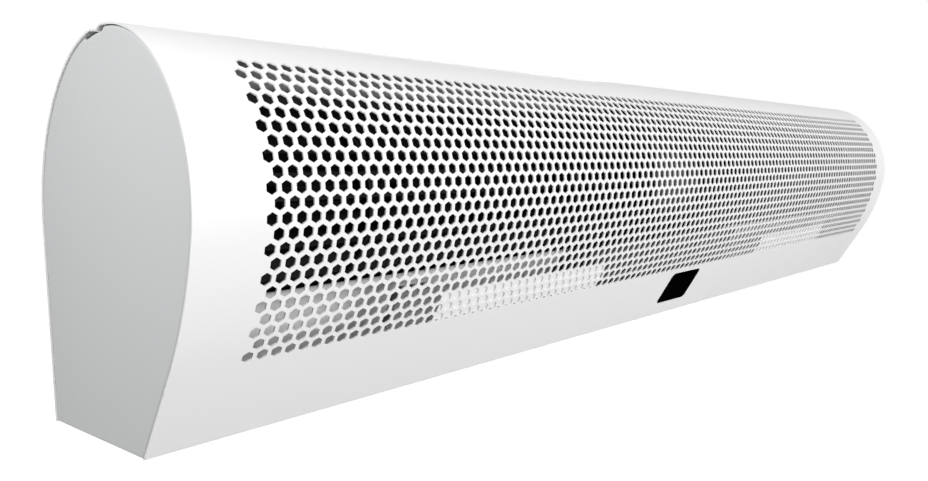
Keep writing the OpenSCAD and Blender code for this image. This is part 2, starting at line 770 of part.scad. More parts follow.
// Rubber rings: a neck through the bay plate and a wider shoulder on the motor's side.
module motor_rings() color([0.08, 0.08, 0.08]) at_wall() for (s = [0, 1]) mirror([s, 0, 0]) difference() {
    union() {
        axle(bay_half - ring_shoulder, boss_out, ring_d / 2);
        axle(bay_half - ring_shoulder, bay_half - 2 * seat_play, ring_d / 2 + 3);
    }
    axle(0, boss_out + 1, boss_d / 2 + seat_play);
}

lead_r = 2.5;
lead_x = -6;
lead_start = shaft_c[1] - stator_r - part_gap;
lead_z = (outlet_h + lead_start) / 2;
lead_end = box_heel[0] - (lead_z - box_heel[1]) * tan(tongue_lean) + lead_r;

// The motor's flexible lead drops from the stator and turns forward into the control tray.
module motor_lead() color([0.1, 0.1, 0.1]) at_wall() union() {
    translate([lead_x, -shaft_y, lead_z]) cylinder(r = lead_r, h = lead_start - lead_z, $fn = 32);
    translate([lead_x, -shaft_y, lead_z]) sphere(r = lead_r, $fn = 32);
    translate([lead_x, -shaft_y, lead_z]) rotate([90, 0, 0])
        cylinder(r = lead_r, h = -shaft_y - lead_end, $fn = 32);
}

// --- bearings --------------------------------------------------------------------------------

cup_r = 24;
cup_t = 1.5;
cup_flange_r = 32;
cup_stud_r = 28;
rubber_r = 15;
rubber_lip_r = 18;
bronze_r = 8;
cup_floor = end_face - bearing_depth;
rubber_out = end_face - 6;
stud_l = 6;
nut_r = 3.7;
nut_h = 2.6;

module bearing_stud_places() for (a = [90, 210, 330])
    translate([end_face, shaft_c[0] + cup_stud_r * cos(a), shaft_c[1] + cup_stud_r * sin(a)])
        rotate([0, 90, 0]) children();

module bearing_bracket() at_wall() difference() {
    union() {
        axle(cup_floor, end_face, cup_r);
        axle(end_face - cup_t, end_face, cup_flange_r);
    }
    axle(cup_floor + cup_t, end_face + 1, cup_r - cup_t);
    axle(end_face - 2 * bearing_depth, end_face, rubber_r + seat_play);
    bearing_stud_places() screw_hole(12);
}

module bearing_bracket_left() color("gainsboro") left_side() bearing_bracket();
module bearing_bracket_right() color("gainsboro") bearing_bracket();

// Each rubber sits in its cup's hole with a lip inside, and each bush stands out at both sides.
module bearing_rubbers() color([0.08, 0.08, 0.08]) at_wall() for (s = [0, 1]) mirror([s, 0, 0])
    difference() {
        union() {
            axle(cup_floor - 1.5, rubber_out, rubber_r);
            axle(cup_floor + cup_t + 2 * seat_play, rubber_out, rubber_lip_r);
        }
        axle(0, end_face, bronze_r + seat_play);
    }

module bearing_bushes() color("goldenrod") at_wall() for (s = [0, 1]) mirror([s, 0, 0]) difference() {
    axle(cup_floor - 2.5, rubber_out + 1.5, bronze_r);
    axle(0, end_face, shaft_r + shaft_play);
}

// --- control box -----------------------------------------------------------------------------

// The space between the cover and the tongue: in_front is the inset from the cover's outside,
// shift moves the sloping back to the front, and z0 and z1 are its floor and ceiling.
module box_zone(in_front, shift, z0, z1, x0, x1) intersection() {
    casing_block(in_front, x0, x1);
    along(x0 - 1, x1 + 1) polygon([
        [-reach, z0], [box_heel[0] - shift, z0], [box_heel[0] - shift, box_heel[1]],
        [box_heel[0] - shift - (z1 - box_heel[1]) * tan(tongue_lean), z1], [-reach, z1]
    ]);
}

lid_in = sheet_t + 3;
lid_t = 1.5;
tray_in = lid_in + lid_t + part_gap;

module control_tray() color([0.12, 0.12, 0.12]) at_wall() difference() {
    box_zone(tray_in, 0, box_z, box_top, -box_left, box_right);
    box_zone(tray_in - 2, box_t, box_z + box_t, box_top - box_t, -box_left + box_t, box_right - box_t);
    translate([lead_x, lead_end + 20, lead_z]) rotate([90, 0, 0])
        cylinder(r = lead_r + 0.5, h = 40, $fn = 32);
}

module control_lid() color([0.1, 0.1, 0.1]) at_wall() difference() {
    box_zone(lid_in, 0, box_z, box_top, -box_left, box_right);
    casing_block(lid_in + lid_t, -half_l, half_l);
    on_outline(window_s, window_x) round_pane(window_w - 4, window_h - 4, window_r, -2, 20);
}

board_t = 1.6;
board_gap = 3;
board_margin = 6;
board_h = box_back_len - 2 * board_margin;
board_x0 = -box_left + 32;
board_x1 = box_right - 8;
post_r = 2.5;
post_inset = 5;
part_d = 10;
relay_w = 19;
relay_h = 15;
transformer_w = 26;
transformer_h = 18;
part_step = 5;
capacitor_w = 36;
capacitor_d = 8;
capacitor_h = 14;
terminal_w = 24;
terminal_d = 10;
terminal_h = 16;
clamp_r = 2.2;

// The main board stands on four posts of the tray's back.
module control_board() color("darkgreen") at_wall() on_box_back(0, board_margin)
    translate([board_x0, -box_t - board_gap - board_t, 0]) union() {
        cube([board_x1 - board_x0, board_t, board_h]);
        for (x = [post_inset, board_x1 - board_x0 - post_inset], z = [post_inset, board_h - post_inset])
            translate([x, board_t - 0.1, z]) rotate([-90, 0, 0])
                cylinder(r = post_r, h = board_gap - 0.1, $fn = 32);
    }

// A part on the main board, halfway up it.
module board_part(x, w, d, h) on_box_back(0, box_back_len / 2 - h / 2)
    translate([board_x0 + x, -box_t - board_gap - board_t - seat_play - d, 0]) cube([w, d, h]);

// Two relays and a transformer.
module board_parts() color("royalblue") at_wall() {
    for (i = [0, 1]) board_part(part_step + i * (relay_w + part_step), relay_w, part_d, relay_h);
    board_part(3 * part_step + 2 * relay_w, transformer_w, part_d, transformer_h);
}

module run_capacitor() color("whitesmoke") at_wall()
    board_part(board_x1 - board_x0 - capacitor_w - part_step, capacitor_w, capacitor_d, capacitor_h);

module terminal_block() color("ivory") at_wall()
    on_box_back(-box_left + box_t + 3, box_back_len / 2 - terminal_h / 2)
        translate([0, -box_t - part_gap - terminal_d, 0]) difference() {
            cube([terminal_w, terminal_d, terminal_h]);
            for (i = [1, 3, 5]) translate([i * terminal_w / 6, -1, terminal_h / 2]) rotate([-90, 0, 0])
                cylinder(r = clamp_r, h = terminal_d - 1, $fn = 32);
        }

module receiver_window() color([0.02, 0.02, 0.02]) at_wall() on_outline(window_s, window_x) union() {
    round_pane(window_w - 0.6, window_h - 0.6, window_r, -0.2, sheet_t + 0.3);
    round_pane(window_w + 3, window_h + 3, window_r, sheet_t + 0.1, window_t + 0.8);
}

module receiver_board() color("darkgreen") at_wall() on_outline(window_s, window_x) union() {
    translate([-window_w / 2 + 6, window_t + 6, -10]) cube([window_w - 12, board_t, 22]);
    translate([-14, window_t + 1.2, -5]) cube([18, 5, 10]);
    translate([8, window_t + 1.2, -3]) cube([5, 5, 6]);
}

// --- cable entry and earth -------------------------------------------------------------------

entry_neck_r = 6.5;
entry_lip_r = 9;
entry_lip_t = 2;
earth_x = -30;
earth_z = 50;

module entry_place() translate([entry_x, 0, 0])
    translate([0, (nape_c + nape_r * outward(entry_turn))[0], (nape_c + nape_r * outward(entry_turn))[1]])
        rotate([90 - entry_turn, 0, 0]) children();

// A rubber grommet: lips on both sides of the shell and a bore for the mains cable.
module cable_grommet() color([0.08, 0.08, 0.08]) at_wall() entry_place() difference() {
    union() {
        translate([0, 0, -sheet_t - 0.7 - entry_lip_t])
            cylinder(r = entry_neck_r, h = sheet_t + 1.2 + 2 * entry_lip_t, $fn = 48);
        translate([0, 0, 0.1]) cylinder(r = entry_lip_r, h = entry_lip_t, $fn = 48);
        translate([0, 0, -sheet_t - 0.7 - entry_lip_t]) cylinder(r = entry_lip_r, h = entry_lip_t, $fn = 48);
    }
    cylinder(r = cable_d / 2, h = 40, center = true, $fn = 48);
}

module earth_stud() color("goldenrod") at_wall() translate([earth_x, -sheet_t - 0.1, earth_z])
    rotate([90, 0, 0]) union() {
        translate([0, 0, -sheet_t]) cylinder(r = screw_r, h = sheet_t + 9, $fn = 48);
        cylinder(r = 4, h = 3, $fn = 6);
        translate([0, 0, 3]) cylinder(r = 4.5, h = 1, $fn = 48);
        translate([0, 0, 4]) cylinder(r = 3.6, h = 3, $fn = 6);
    }

// --- pads and screws -------------------------------------------------------------------------

pad_w = 32;
pad_x = half_l - 130;
pad_low = outlet_h + 4;
pad_high = tongue_tip[1] - 9;
pad_foot = tongue_foot + (duct_t + part_gap) * [-cos(tongue_lean), -sin(tongue_lean)];

// A point on the pads' back, which follows the tongue, at height z.
function pad_spot(z) = pad_foot + (z - pad_foot[1]) * [-tan(tongue_lean), 1];

// Foam blocks between the cover and the tongues stop the long cover from drumming.
module foam_pads() color([0.3, 0.3, 0.3]) at_wall() for (s = [-1, 1]) intersection() {
    casing_block(sheet_t + part_gap, s * pad_x - pad_w / 2, s * pad_x + pad_w / 2);
    along(-half_l, half_l)
        polygon([[-reach, pad_low], pad_spot(pad_low), pad_spot(pad_high), [-reach, pad_high]]);
}

module cover_screws() color("silver") at_wall() foot_screws(cover_screw_y) screw(screw_len);

module shell_screws() color("silver") at_wall() foot_screws(shell_screw_y) screw(screw_len);

module end_screws() color("silver") at_wall() end_screw_places() screw(screw_len);

module bearing_nuts() color("silver") at_wall() for (s = [0, 1]) mirror([s, 0, 0]) bearing_stud_places()
    translate([0, 0, -cup_t - 2 * seat_play - nut_h]) difference() {
        cylinder(r = nut_r, h = nut_h, $fn = 6);
        screw_hole(12);
    }

module duct_screws() color("silver") at_wall() for (s = [0, 1]) mirror([s, 0, 0]) duct_screw_places()
    screw(duct_t + outlet_t + 1);

front_cover();
rear_shell();
end_plate_left();
end_plate_right();
wall_bracket();
volute_left();
volute_right();
tongue_left();
tongue_right();
bay_plate_left();
bay_plate_right();
outlet_frame();
vane_left();
vane_right();
vane_bushes();
impeller_left();
impeller_right();
stub_shaft_left();
stub_shaft_right();
motor_shaft();
motor_core();
hub_screws();
motor_stator();
motor_windings();
motor_bell_left();
motor_bell_right();
motor_bushes();
motor_bolts();
motor_rings();
motor_lead();
bearing_bracket_left();
bearing_bracket_right();
bearing_rubbers();
bearing_bushes();
control_tray();
control_lid();
control_board();
board_parts();
run_capacitor();
terminal_block();
receiver_board();
receiver_window();
cable_grommet();
earth_stud();
foam_pads();
cover_screws();
shell_screws();
end_screws();
bearing_nuts();
duct_screws();
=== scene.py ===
# Looks of a wall-mounted air curtain: a white casing of bent sheet with a perforated front and grey
# end plates. Lengths are in metres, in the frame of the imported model.
import json
from bisect import bisect_right
from math import acos, ceil, cos, degrees, pi, radians, sin, tan

import bmesh
import bpy
from mathutils import Matrix, Vector
from mathutils.geometry import delaunay_2d_cdt


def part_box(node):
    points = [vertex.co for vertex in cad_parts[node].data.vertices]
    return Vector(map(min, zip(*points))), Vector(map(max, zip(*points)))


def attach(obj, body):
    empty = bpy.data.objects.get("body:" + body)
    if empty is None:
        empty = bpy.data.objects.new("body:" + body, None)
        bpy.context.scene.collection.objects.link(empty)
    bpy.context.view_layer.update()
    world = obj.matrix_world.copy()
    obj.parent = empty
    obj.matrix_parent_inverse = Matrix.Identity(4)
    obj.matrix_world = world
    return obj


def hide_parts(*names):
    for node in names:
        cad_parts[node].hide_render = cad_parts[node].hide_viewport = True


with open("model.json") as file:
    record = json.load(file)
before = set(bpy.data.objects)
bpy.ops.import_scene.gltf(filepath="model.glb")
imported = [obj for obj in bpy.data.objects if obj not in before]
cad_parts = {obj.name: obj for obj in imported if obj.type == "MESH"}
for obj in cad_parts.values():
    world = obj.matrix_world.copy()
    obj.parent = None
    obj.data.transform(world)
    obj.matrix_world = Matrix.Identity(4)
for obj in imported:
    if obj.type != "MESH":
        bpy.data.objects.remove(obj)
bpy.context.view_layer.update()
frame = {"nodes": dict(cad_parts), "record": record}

NODES = frame["nodes"]
BODY_OF = {node: body for body, group in frame["record"]["behaviour"]["bodies"].items() for node in group}

# --- sizes ------------------------

# The casing's section: arcs from the toe at the front underside up to the flat back, and the turning
# angles at which they meet.
CROWN_R = 0.066
NOSE_R = 0.080
CHIN_R = 0.175
NAPE_R = 0.095
CROWN_START = 41
CROWN_END = 125
CHIN_TURN = 13
CHIN_LEAN = 33

# The two bent sheets, the seam between them on top and their folds.
SHEET_T = 0.001
COVER_T = 0.0008
SEAM_D = 0.072
SEAM_GAP = 0.0005
COVER_BEND = 0.007
SHELL_BEND = 0.003
LIP_H = 0.009
COVER_FOOT = 0.015
SHELL_FOOT = 0.028
TOE_BEND = 0.0016
HEEL_BEND = 0.0012

# The perforated field: hexagons on their points, in rows counted from the lowest. Places up the
# front, here and below, are lengths along the sheet from the toe.
HOLE_PITCH = 0.00761
HOLE_ACROSS = 0.0054
ROW_STEP = 0.00663
ROW_COUNT = 22
LOWEST_ROW = 0.0510
LONG_ROW = 110
FIRST_HOLE = 0.0364

# The receiver window: its opening in the cover, and the pane with its rounded edge and its ledge.
WINDOW_W = 0.047
WINDOW_H = 0.031
WINDOW_S = 0.0285
WINDOW_X = 0.0065
WINDOW_R = 0.004
WINDOW_LEAST_R = 0.0012
WINDOW_T = 0.0026
WINDOW_PLAY = 0.0003
WINDOW_PROUD = 0.0002
WINDOW_EDGE = 0.0007
WINDOW_RIM = 2.6 * WINDOW_EDGE
WINDOW_LEDGE = 0.0015
WINDOW_SEAT = 0.0001

# The end plates: face, pressed edge, flange, the relief under the seam and the weld studs.
END_T = 0.0012
END_FACE_T = 0.0019
END_INSET = 0.0003
END_FLANGE = 0.0127
END_GAP = 0.0002
END_EDGE = 0.0013
END_RIM = 0.0005
END_CORNER = 0.001
END_RELIEF = 0.0018
END_RELIEF_SPAN = (-0.0795, -0.0625)
FLANGE_CLEAR = 0.0005
STUD_R = 0.00195
STUD_L = 0.0067

# Inside: how far the tongues' tips and the volutes' crests are lowered, the foam pads, and the
# blanking strips behind the lowest rows.
TONGUE_LOWER = 0.0064
CREST_LOWER = 0.0055
PAD_START = 0.046
PAD_END = 0.0742
PAD_T = 0.005
PAD_GAP = 0.0001
PAD_TRIM = 0.006
PAD_EDGE = 0.0008
BLANK_START = 0.0465
BLANK_END = 0.0676
BLANK_T = 0.0003
BLANK_GAP = 0.00005
BLANK_INNER = 0.134
BLANK_OUTER = 0.295

# Tolerances: what counts as one point, one corner or one level, and as no step or no face.
SAME_POINT = 1e-8
SAME_CORNER = 1e-6
SAME_LEVEL = 1e-5
SHORTEST_STEP = 1e-7
SLIVER = 1e-11
TILE_WELD = 0.00002

# --- the casing's section ------------------------

cover_lo, cover_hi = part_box("front_cover")
LEFT, RIGHT = cover_lo.x, cover_hi.x
HALF_L = (RIGHT - LEFT) / 2
UNDERSIDE = cover_lo.z
BODY_H = cover_hi.z - cover_lo.z
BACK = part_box("rear_shell")[1].y
FRAME_HALF = HALF_L - END_INSET - END_FLANGE - FLANGE_CLEAR


def outward(turn):
    """Outward direction of the casing as (y, z): 0 faces the front, 90 faces up, 180 faces the wall."""
    return Vector((-cos(radians(turn)), sin(radians(turn))))


def placed(x, spot):
    """A point of the section, drawn from the foot of the back, in the frame."""
    return Vector((x, spot[0] + BACK, spot[1] + UNDERSIDE))


nape_c = Vector((-NAPE_R, BODY_H - CROWN_R - (NAPE_R - CROWN_R) * sin(radians(CROWN_END))))
crown_c = nape_c + (NAPE_R - CROWN_R) * outward(CROWN_END)
nose_c = crown_c + (CROWN_R - NOSE_R) * outward(CROWN_START)
chin_c = nose_c + (NOSE_R - CHIN_R) * outward(-CHIN_TURN)


def toe(inset):
    """Corner between the straight front and the underside, for an outline inset from the casing's."""
    end = chin_c + (CHIN_R - inset) * outward(-CHIN_LEAN)
    return Vector((end.x + (end.y - inset) * tan(radians(CHIN_LEAN)), inset))


class SheetLine:
    """A line in the section, such as the outside of a bent sheet, as points with the length so far."""

    ARC_STEP = 2.0

    def __init__(self, start):
        self.points = [Vector(start)]
        self.length = 0.0

    def line(self, end):
        end = Vector(end)
        step = (end - self.points[-1]).length
        if step > SHORTEST_STEP:
            self.length += step
            self.points.append(end)
        return self.length

    def arc(self, centre, radius, start, end, steps=0):
        steps = steps or ceil(abs(end - start) / self.ARC_STEP)
        for i in range(steps + 1):
            self.line(Vector(centre) + radius * outward(start + (end - start) * i / steps))
        return self.length


def seam_bend(bend_y, bend):
    """Centre of a seam bend of that radius at bend_y, and the turning angle where the crown meets it."""
    turn = degrees(acos((crown_c.x - bend_y) / (CROWN_R - bend)))
    return crown_c + (CROWN_R - bend) * outward(turn), turn


def cover_line():
    """The front cover from its foot round the front to its lip, with the lengths at its changes."""
    corner = toe(0)
    cut = TOE_BEND * tan(radians((90 - CHIN_LEAN) / 2))
    line = SheetLine((corner.x + COVER_FOOT, 0))
    marks = {"foot": line.line((corner.x + cut, 0))}
    marks["toe"] = line.arc((corner.x + cut, TOE_BEND), TOE_BEND, -90, -CHIN_LEAN, 8)
    marks["zero"] = marks["toe"] - cut
    line.arc(chin_c, CHIN_R, -CHIN_LEAN, -CHIN_TURN)
    line.arc(nose_c, NOSE_R, -CHIN_TURN, CROWN_START)
    centre, turn = seam_bend(-SEAM_D - COVER_BEND, COVER_BEND)
    marks["crown"] = line.arc(crown_c, CROWN_R, CROWN_START, turn)
    marks["bend"] = line.arc(centre, COVER_BEND, turn, 180, 16)
    marks["lip"] = line.line((-SEAM_D, BODY_H - LIP_H))
    return line, marks


def shell_line():
    """The rear shell from its lip over the crown and down the back to its foot."""
    lip_y = -SEAM_D + SEAM_GAP
    centre, turn = seam_bend(lip_y + SHELL_BEND, SHELL_BEND)
    line = SheetLine((lip_y, BODY_H - LIP_H))
    marks = {"lip": line.line((lip_y, centre.y))}
    marks["bend"] = line.arc(centre, SHELL_BEND, 0, turn, 16)
    marks["crown"] = line.arc(crown_c, CROWN_R, turn, CROWN_END)
    marks["nape"] = line.arc(nape_c, NAPE_R, CROWN_END, 180)
    marks["back"] = line.line((0, HEEL_BEND))
    marks["heel"] = line.arc((-HEEL_BEND, HEEL_BEND), HEEL_BEND, 180, 270, 8)
    marks["foot"] = line.line((-SHELL_FOOT, 0))
    return line, marks


def pan_outline(inset):
    """An end plate's section, inset from the casing's, as a closed ring of points from its front foot.

    The underside of the plate is level with the casing's, because the sheets' feet end short of it.
    """
    low = inset - SHEET_T - END_GAP
    cut = END_CORNER * tan(radians((90 - CHIN_LEAN) / 2))
    foot = toe(inset).x + (inset - low) * tan(radians(CHIN_LEAN)) + cut
    line = SheetLine((foot, low))
    line.arc((foot, low + END_CORNER), END_CORNER, -90, -CHIN_LEAN, 6)
    line.arc(chin_c, CHIN_R - inset, -CHIN_LEAN, -CHIN_TURN, 8)
    line.arc(nose_c, NOSE_R - inset, -CHIN_TURN, CROWN_START, 24)
    line.arc(crown_c, CROWN_R - inset, CROWN_START, CROWN_END, 36)
    line.arc(nape_c, NAPE_R - inset, CROWN_END, 180, 24)
    line.arc((-inset - END_CORNER, low + END_CORNER), END_CORNER, 180, 270, 6)
    return line.points


# --- nodes of materials and geometry ------------------------


def add(tree, kind, inputs=None, **settings):
    """A node of that kind with its settings, and its inputs set to values or linked to sockets."""
    node = tree.nodes.new(kind)
    for name, value in settings.items():
        setattr(node, name, value)
    for name, value in (inputs or {}).items():
        if isinstance(value, bpy.types.NodeSocket):
            tree.links.new(value, node.inputs[name])
        else:
            node.inputs[name].default_value = value
    return node


def arith(tree, operation, a, b=0.0):
    return add(tree, "ShaderNodeMath", {0: a, 1: b}, operation=operation).outputs[0]


def spread(tree, value, low, high, from_low=0.0, from_high=1.0):
    """value, taken from one range to another."""
    inputs = {"Value": value, "From Min": from_low, "From Max": from_high, "To Min": low, "To Max": high}
    return add(tree, "ShaderNodeMapRange", inputs).outputs["Result"]


class Finish:
    """A material under construction: its shader, its place coordinates and its surface relief."""

    def __init__(self, name, colour, roughness, metallic=0.0, specular=0.5):
        self.material = bpy.data.materials.new(name)
        self.material.use_nodes = True
        self.tree = self.material.node_tree
        self.shader = self.tree.nodes["Principled BSDF"]
        self.colour = colour
        self.roughness = roughness
        self.normal = None
        self.shader.inputs["Base Color"].default_value = (*colour, 1)
        self.shader.inputs["Roughness"].default_value = roughness
        self.shader.inputs["Metallic"].default_value = metallic
        self.shader.inputs["Specular IOR Level"].default_value = specular
        self.place = add(self.tree, "ShaderNodeTexCoord").outputs["Object"]

    def stretched(self, factors):
        if not factors:
            return self.place
        return add(self.tree, "ShaderNodeMapping", {"Vector": self.place, "Scale": factors}).outputs[0]

    def noise(self, scale, detail, stretch=None):
        inputs = {"Vector": self.stretched(stretch), "Scale": scale, "Detail": detail}
        return add(self.tree, "ShaderNodeTexNoise", inputs).outputs["Fac"]

    def cells(self, scale, output="Color", feature="F1", stretch=None):
        inputs = {"Vector": self.stretched(stretch), "Scale": scale}
        return add(self.tree, "ShaderNodeTexVoronoi", inputs, feature=feature).outputs[output]

    def tint(self, factor, first, last):
        """Colour that goes with factor between two multiples of the finish's own colour."""
        mix = add(self.tree, "ShaderNodeMix", {0: factor}, data_type="RGBA")
        for socket, level in ((6, first), (7, last)):
            mix.inputs[socket].default_value = (*(min(1.0, c * level) for c in self.colour), 1)
        self.tree.links.new(mix.outputs[2], self.shader.inputs["Base Color"])

    def gloss(self, factor, below, above):
        """Roughness that goes with factor from below to above the finish's own roughness."""
        value = spread(self.tree, factor, self.roughness - below, self.roughness + above)
        self.tree.links.new(value, self.shader.inputs["Roughness"])

    def relief(self, height, depth):
        inputs = {"Height": height, "Distance": depth}
        if self.normal:
            inputs["Normal"] = self.normal
        self.normal = add(self.tree, "ShaderNodeBump", inputs).outputs["Normal"]
        self.tree.links.new(self.normal, self.shader.inputs["Normal"])


def powder_coat(name, colour, roughness=0.36, peel=0.00003):
    """Baked powder paint: a fine orange peel, a broad waviness and a slight unevenness of tone."""
    finish = Finish(name, colour, roughness, specular=0.42)
    finish.tint(finish.noise(9, 3), 0.985, 1.01)
    finish.gloss(finish.noise(260, 2), 0.05, 0.06)
    finish.relief(finish.noise(820, 2), peel)
    finish.relief(finish.noise(26, 1), 0.00022)
    return finish.material


def zinc_sheet(name, colour, spangle=95, roughness=0.42):
    """Galvanised sheet: crystal spangles that differ in tone and gloss, over fine rolling marks."""
    finish = Finish(name, colour, roughness, metallic=0.75)
    crystals = add(finish.tree, "ShaderNodeSeparateColor", {"Color": finish.cells(spangle)})
    finish.tint(crystals.outputs["Red"], 0.86, 1.08)
    finish.gloss(crystals.outputs["Green"], 0.1, 0.12)
    finish.relief(finish.noise(500, 3, stretch=(0.2, 1, 1)), 0.00002)
    return finish.material


def ground_steel(name, colour, roughness=0.3, along=(0.04, 1, 1)):
    """Turned or ground steel: fine lines across its length and faint stains."""
    finish = Finish(name, colour, roughness, metallic=1.0)
    finish.tint(finish.noise(60, 3), 0.88, 1.06)
    finish.gloss(finish.noise(900, 2, along), 0.08, 0.1)
    finish.relief(finish.noise(1500, 2, along), 0.00001)
    return finish.material


def brushed_aluminium(name, colour):
    """Satin aluminium with the lines of its extrusion along X."""
    finish = Finish(name, colour, 0.34, metallic=1.0)
    lines = finish.noise(1400, 3, stretch=(0.012, 1, 1))
    finish.tint(lines, 0.9, 1.06)
    finish.gloss(finish.noise(40, 2), 0.07, 0.08)
    finish.relief(lines, 0.000015)
    return finish.material


def moulded_plastic(name, colour, roughness=0.45, grain=0.00004):
    """Moulded plastic with a spark-eroded grain."""
    finish = Finish(name, colour, roughness)
    finish.tint(finish.noise(30, 2), 0.93, 1.05)
    finish.gloss(finish.noise(300, 2), 0.07, 0.08)
    finish.relief(finish.cells(1300, "Distance"), grain)
    return finish.material


def gloss_pane(name, colour):
    """Dark infrared filter: coated against reflection, with a trace of waviness and dust."""
    finish = Finish(name, colour, 0.2, specular=0.0)
    finish.tint(finish.noise(45, 3), 0.7, 1.3)
    finish.gloss(finish.noise(380, 4), 0.08, 0.1)
    finish.relief(finish.noise(70, 1), 0.00003)
    return finish.material


def rubber(name, colour):
    finish = Finish(name, colour, 0.72, specular=0.35)
    finish.tint(finish.noise(80, 4), 0.75, 1.5)
    finish.gloss(finish.noise(160, 3), 0.12, 0.13)
    finish.relief(finish.noise(1400, 3), 0.00004)
    return finish.material


def open_foam(name, colour):
    """Open-cell foam: round pores of about half a millimetre."""
    finish = Finish(name, colour, 0.95, specular=0.1)
    pores = finish.cells(1600, "Distance")
    finish.tint(pores, 1.15, 0.45)
    finish.relief(pores, 0.0004)
    finish.relief(finish.noise(120, 3), 0.0004)
    return finish.material


def anodised(name, colour):
    """Matt black anodised sheet metal with a blotchy tone of dust."""
    finish = Finish(name, colour, 0.6, specular=0.2)
    finish.tint(finish.noise(50, 4), 0.75, 1.5)
    finish.gloss(finish.noise(300, 2), 0.1, 0.15)
    finish.relief(finish.noise(1100, 2), 0.00002)
    return finish.material


def laminations(name, colour, sheet=0.0005):
    """Stacked core plates, half a millimetre each along X."""
    finish = Finish(name, colour, 0.5, metallic=0.85)
    across = add(finish.tree, "ShaderNodeSeparateXYZ", {"Vector": finish.place}).outputs["X"]
    edge = arith(finish.tree, "PINGPONG", across, sheet / 2)
    groove = spread(finish.tree, edge, 0.0, 1.0, 0.0, sheet / 4)
    finish.tint(finish.noise(90, 3), 0.75, 1.15)
    finish.relief(groove, 0.00012)
    return finish.material


def enamelled_wire(name, colour, wire=0.0007):
    """Wound copper under varnish: wires side by side round the shaft."""
    finish = Finish(name, colour, 0.28, metallic=0.8)
    place = add(finish.tree, "ShaderNodeSeparateXYZ", {"Vector": finish.place})
    turn = arith(finish.tree, "PINGPONG", place.outputs["X"], wire / 2)
    ridge = spread(finish.tree, turn, 0.0, 1.0, 0.0, wire / 2)
    finish.tint(finish.noise(700, 2, stretch=(1, 0.1, 0.1)), 0.55, 1.25)
    finish.relief(ridge, 0.0002)
    return finish.material


def sintered_bronze(name, colour):
    finish = Finish(name, colour, 0.38, metallic=1.0)
    finish.tint(finish.noise(900, 3), 0.72, 1.12)
    finish.relief(finish.cells(2600, "Distance"), 0.00003)
    return finish.material


def enamel_paint(name, colour):
    """Dipped motor enamel over a cast housing."""
    finish = Finish(name, colour, 0.4, metallic=0.2)
    finish.tint(finish.noise(35, 3), 0.85, 1.1)
    finish.gloss(finish.noise(140, 2), 0.1, 0.1)
    finish.relief(finish.noise(380, 4), 0.00012)
    return finish.material


def circuit_board(name, colour):
    """Solder mask over copper tracks, which run in straight cells."""
    finish = Finish(name, colour, 0.3, specular=0.6)
    tracks = finish.cells(260, "Distance", "DISTANCE_TO_EDGE", stretch=(1, 0.35, 1))
    track = spread(finish.tree, tracks, 1.0, 0.0, 0.02, 0.05)
    finish.tint(track, 1.0, 1.9)
    finish.relief(track, 0.00003)
    return finish.material


# The maker and colour of each of the record's material slots and of the near-black duct sheets, and what
# else the maker is told. The duct sheets' black paint also stands in for the shade inside the casing that
# is seen through the holes: painted shade.
FINISH_MAKERS = {
    "cover_white": (powder_coat, (0.83, 0.83, 0.83)),
    "shell_white": (powder_coat, (0.81, 0.81, 0.81)),
    "plate_grey": (powder_coat, (0.64, 0.65, 0.655), 0.42),
    "bracket_zinc": (zinc_sheet, (0.68, 0.69, 0.70)),
    "duct_zinc": (powder_coat, (0.93, 0.93, 0.93), 0.6),
    # Near-black duct paint on the volutes and bay plates: partly their own black paint, partly painted
    # shade for the dark inside behind the holes.
    "volute_dark": (powder_coat, (0.015, 0.015, 0.016), 0.7),
    "bay_zinc": (zinc_sheet, (0.52, 0.52, 0.53)),
    "outlet_white": (powder_coat, (0.80, 0.80, 0.80), 0.4),
    "vane_aluminium": (brushed_aluminium, (0.78, 0.78, 0.79)),
    "bush_plastic": (moulded_plastic, (0.78, 0.76, 0.68)),
    "impeller_black": (anodised, (0.005, 0.005, 0.0055)),
    "shaft_steel": (ground_steel, (0.62, 0.62, 0.63), 0.24),
    "screw_steel": (ground_steel, (0.66, 0.66, 0.67), 0.3, (1, 1, 0.2)),
    "stator_iron": (laminations, (0.12, 0.12, 0.13)),
    "winding_copper": (enamelled_wire, (0.62, 0.27, 0.12)),
    "motor_enamel": (enamel_paint, (0.045, 0.045, 0.05)),
    "ring_rubber": (rubber, (0.03, 0.03, 0.03)),
    "lead_black": (rubber, (0.025, 0.025, 0.025)),
    "bush_bronze": (sintered_bronze, (0.66, 0.45, 0.22)),
    "box_black": (moulded_plastic, (0.018, 0.018, 0.02), 0.5),
    "board_green": (circuit_board, (0.015, 0.13, 0.04)),
    "part_blue": (moulded_plastic, (0.05, 0.12, 0.38), 0.35),
    "capacitor_white": (moulded_plastic, (0.78, 0.78, 0.76), 0.35),
    "terminal_ivory": (moulded_plastic, (0.74, 0.70, 0.58), 0.4),
    "window_black": (gloss_pane, (0.0012, 0.0012, 0.0014)),
    "grommet_rubber": (rubber, (0.028, 0.028, 0.028)),
    "stud_brass": (ground_steel, (0.72, 0.53, 0.22), 0.28, (1, 0.1, 1)),
    "foam_grey": (open_foam, (0.23, 0.23, 0.235)),
}
FINISHES = {name: maker(name, *given) for name, (maker, *given) in FINISH_MAKERS.items()}

# --- making pieces ------------------------


def new_object(name, data):
    thing = bpy.data.objects.new(name, data)
    bpy.context.scene.collection.objects.link(thing)
    return thing


def mesh_of(name, points, faces):
    mesh = bpy.data.meshes.new(name)
    mesh.from_pydata(points, [], faces)
    mesh.update()
    return mesh


def piece_from(work, name):
    """A new piece with the shape that was worked out, which frees the work."""
    mesh = bpy.data.meshes.new(name)
    work.to_mesh(mesh)
    work.free()
    return new_object(name, mesh)


def node_work(node):
    """A CAD node's shape with its corners joined, to work on."""
    work = bmesh.new()
    work.from_mesh(NODES[node].data)
    bmesh.ops.remove_doubles(work, verts=work.verts, dist=SAME_CORNER)
    return work


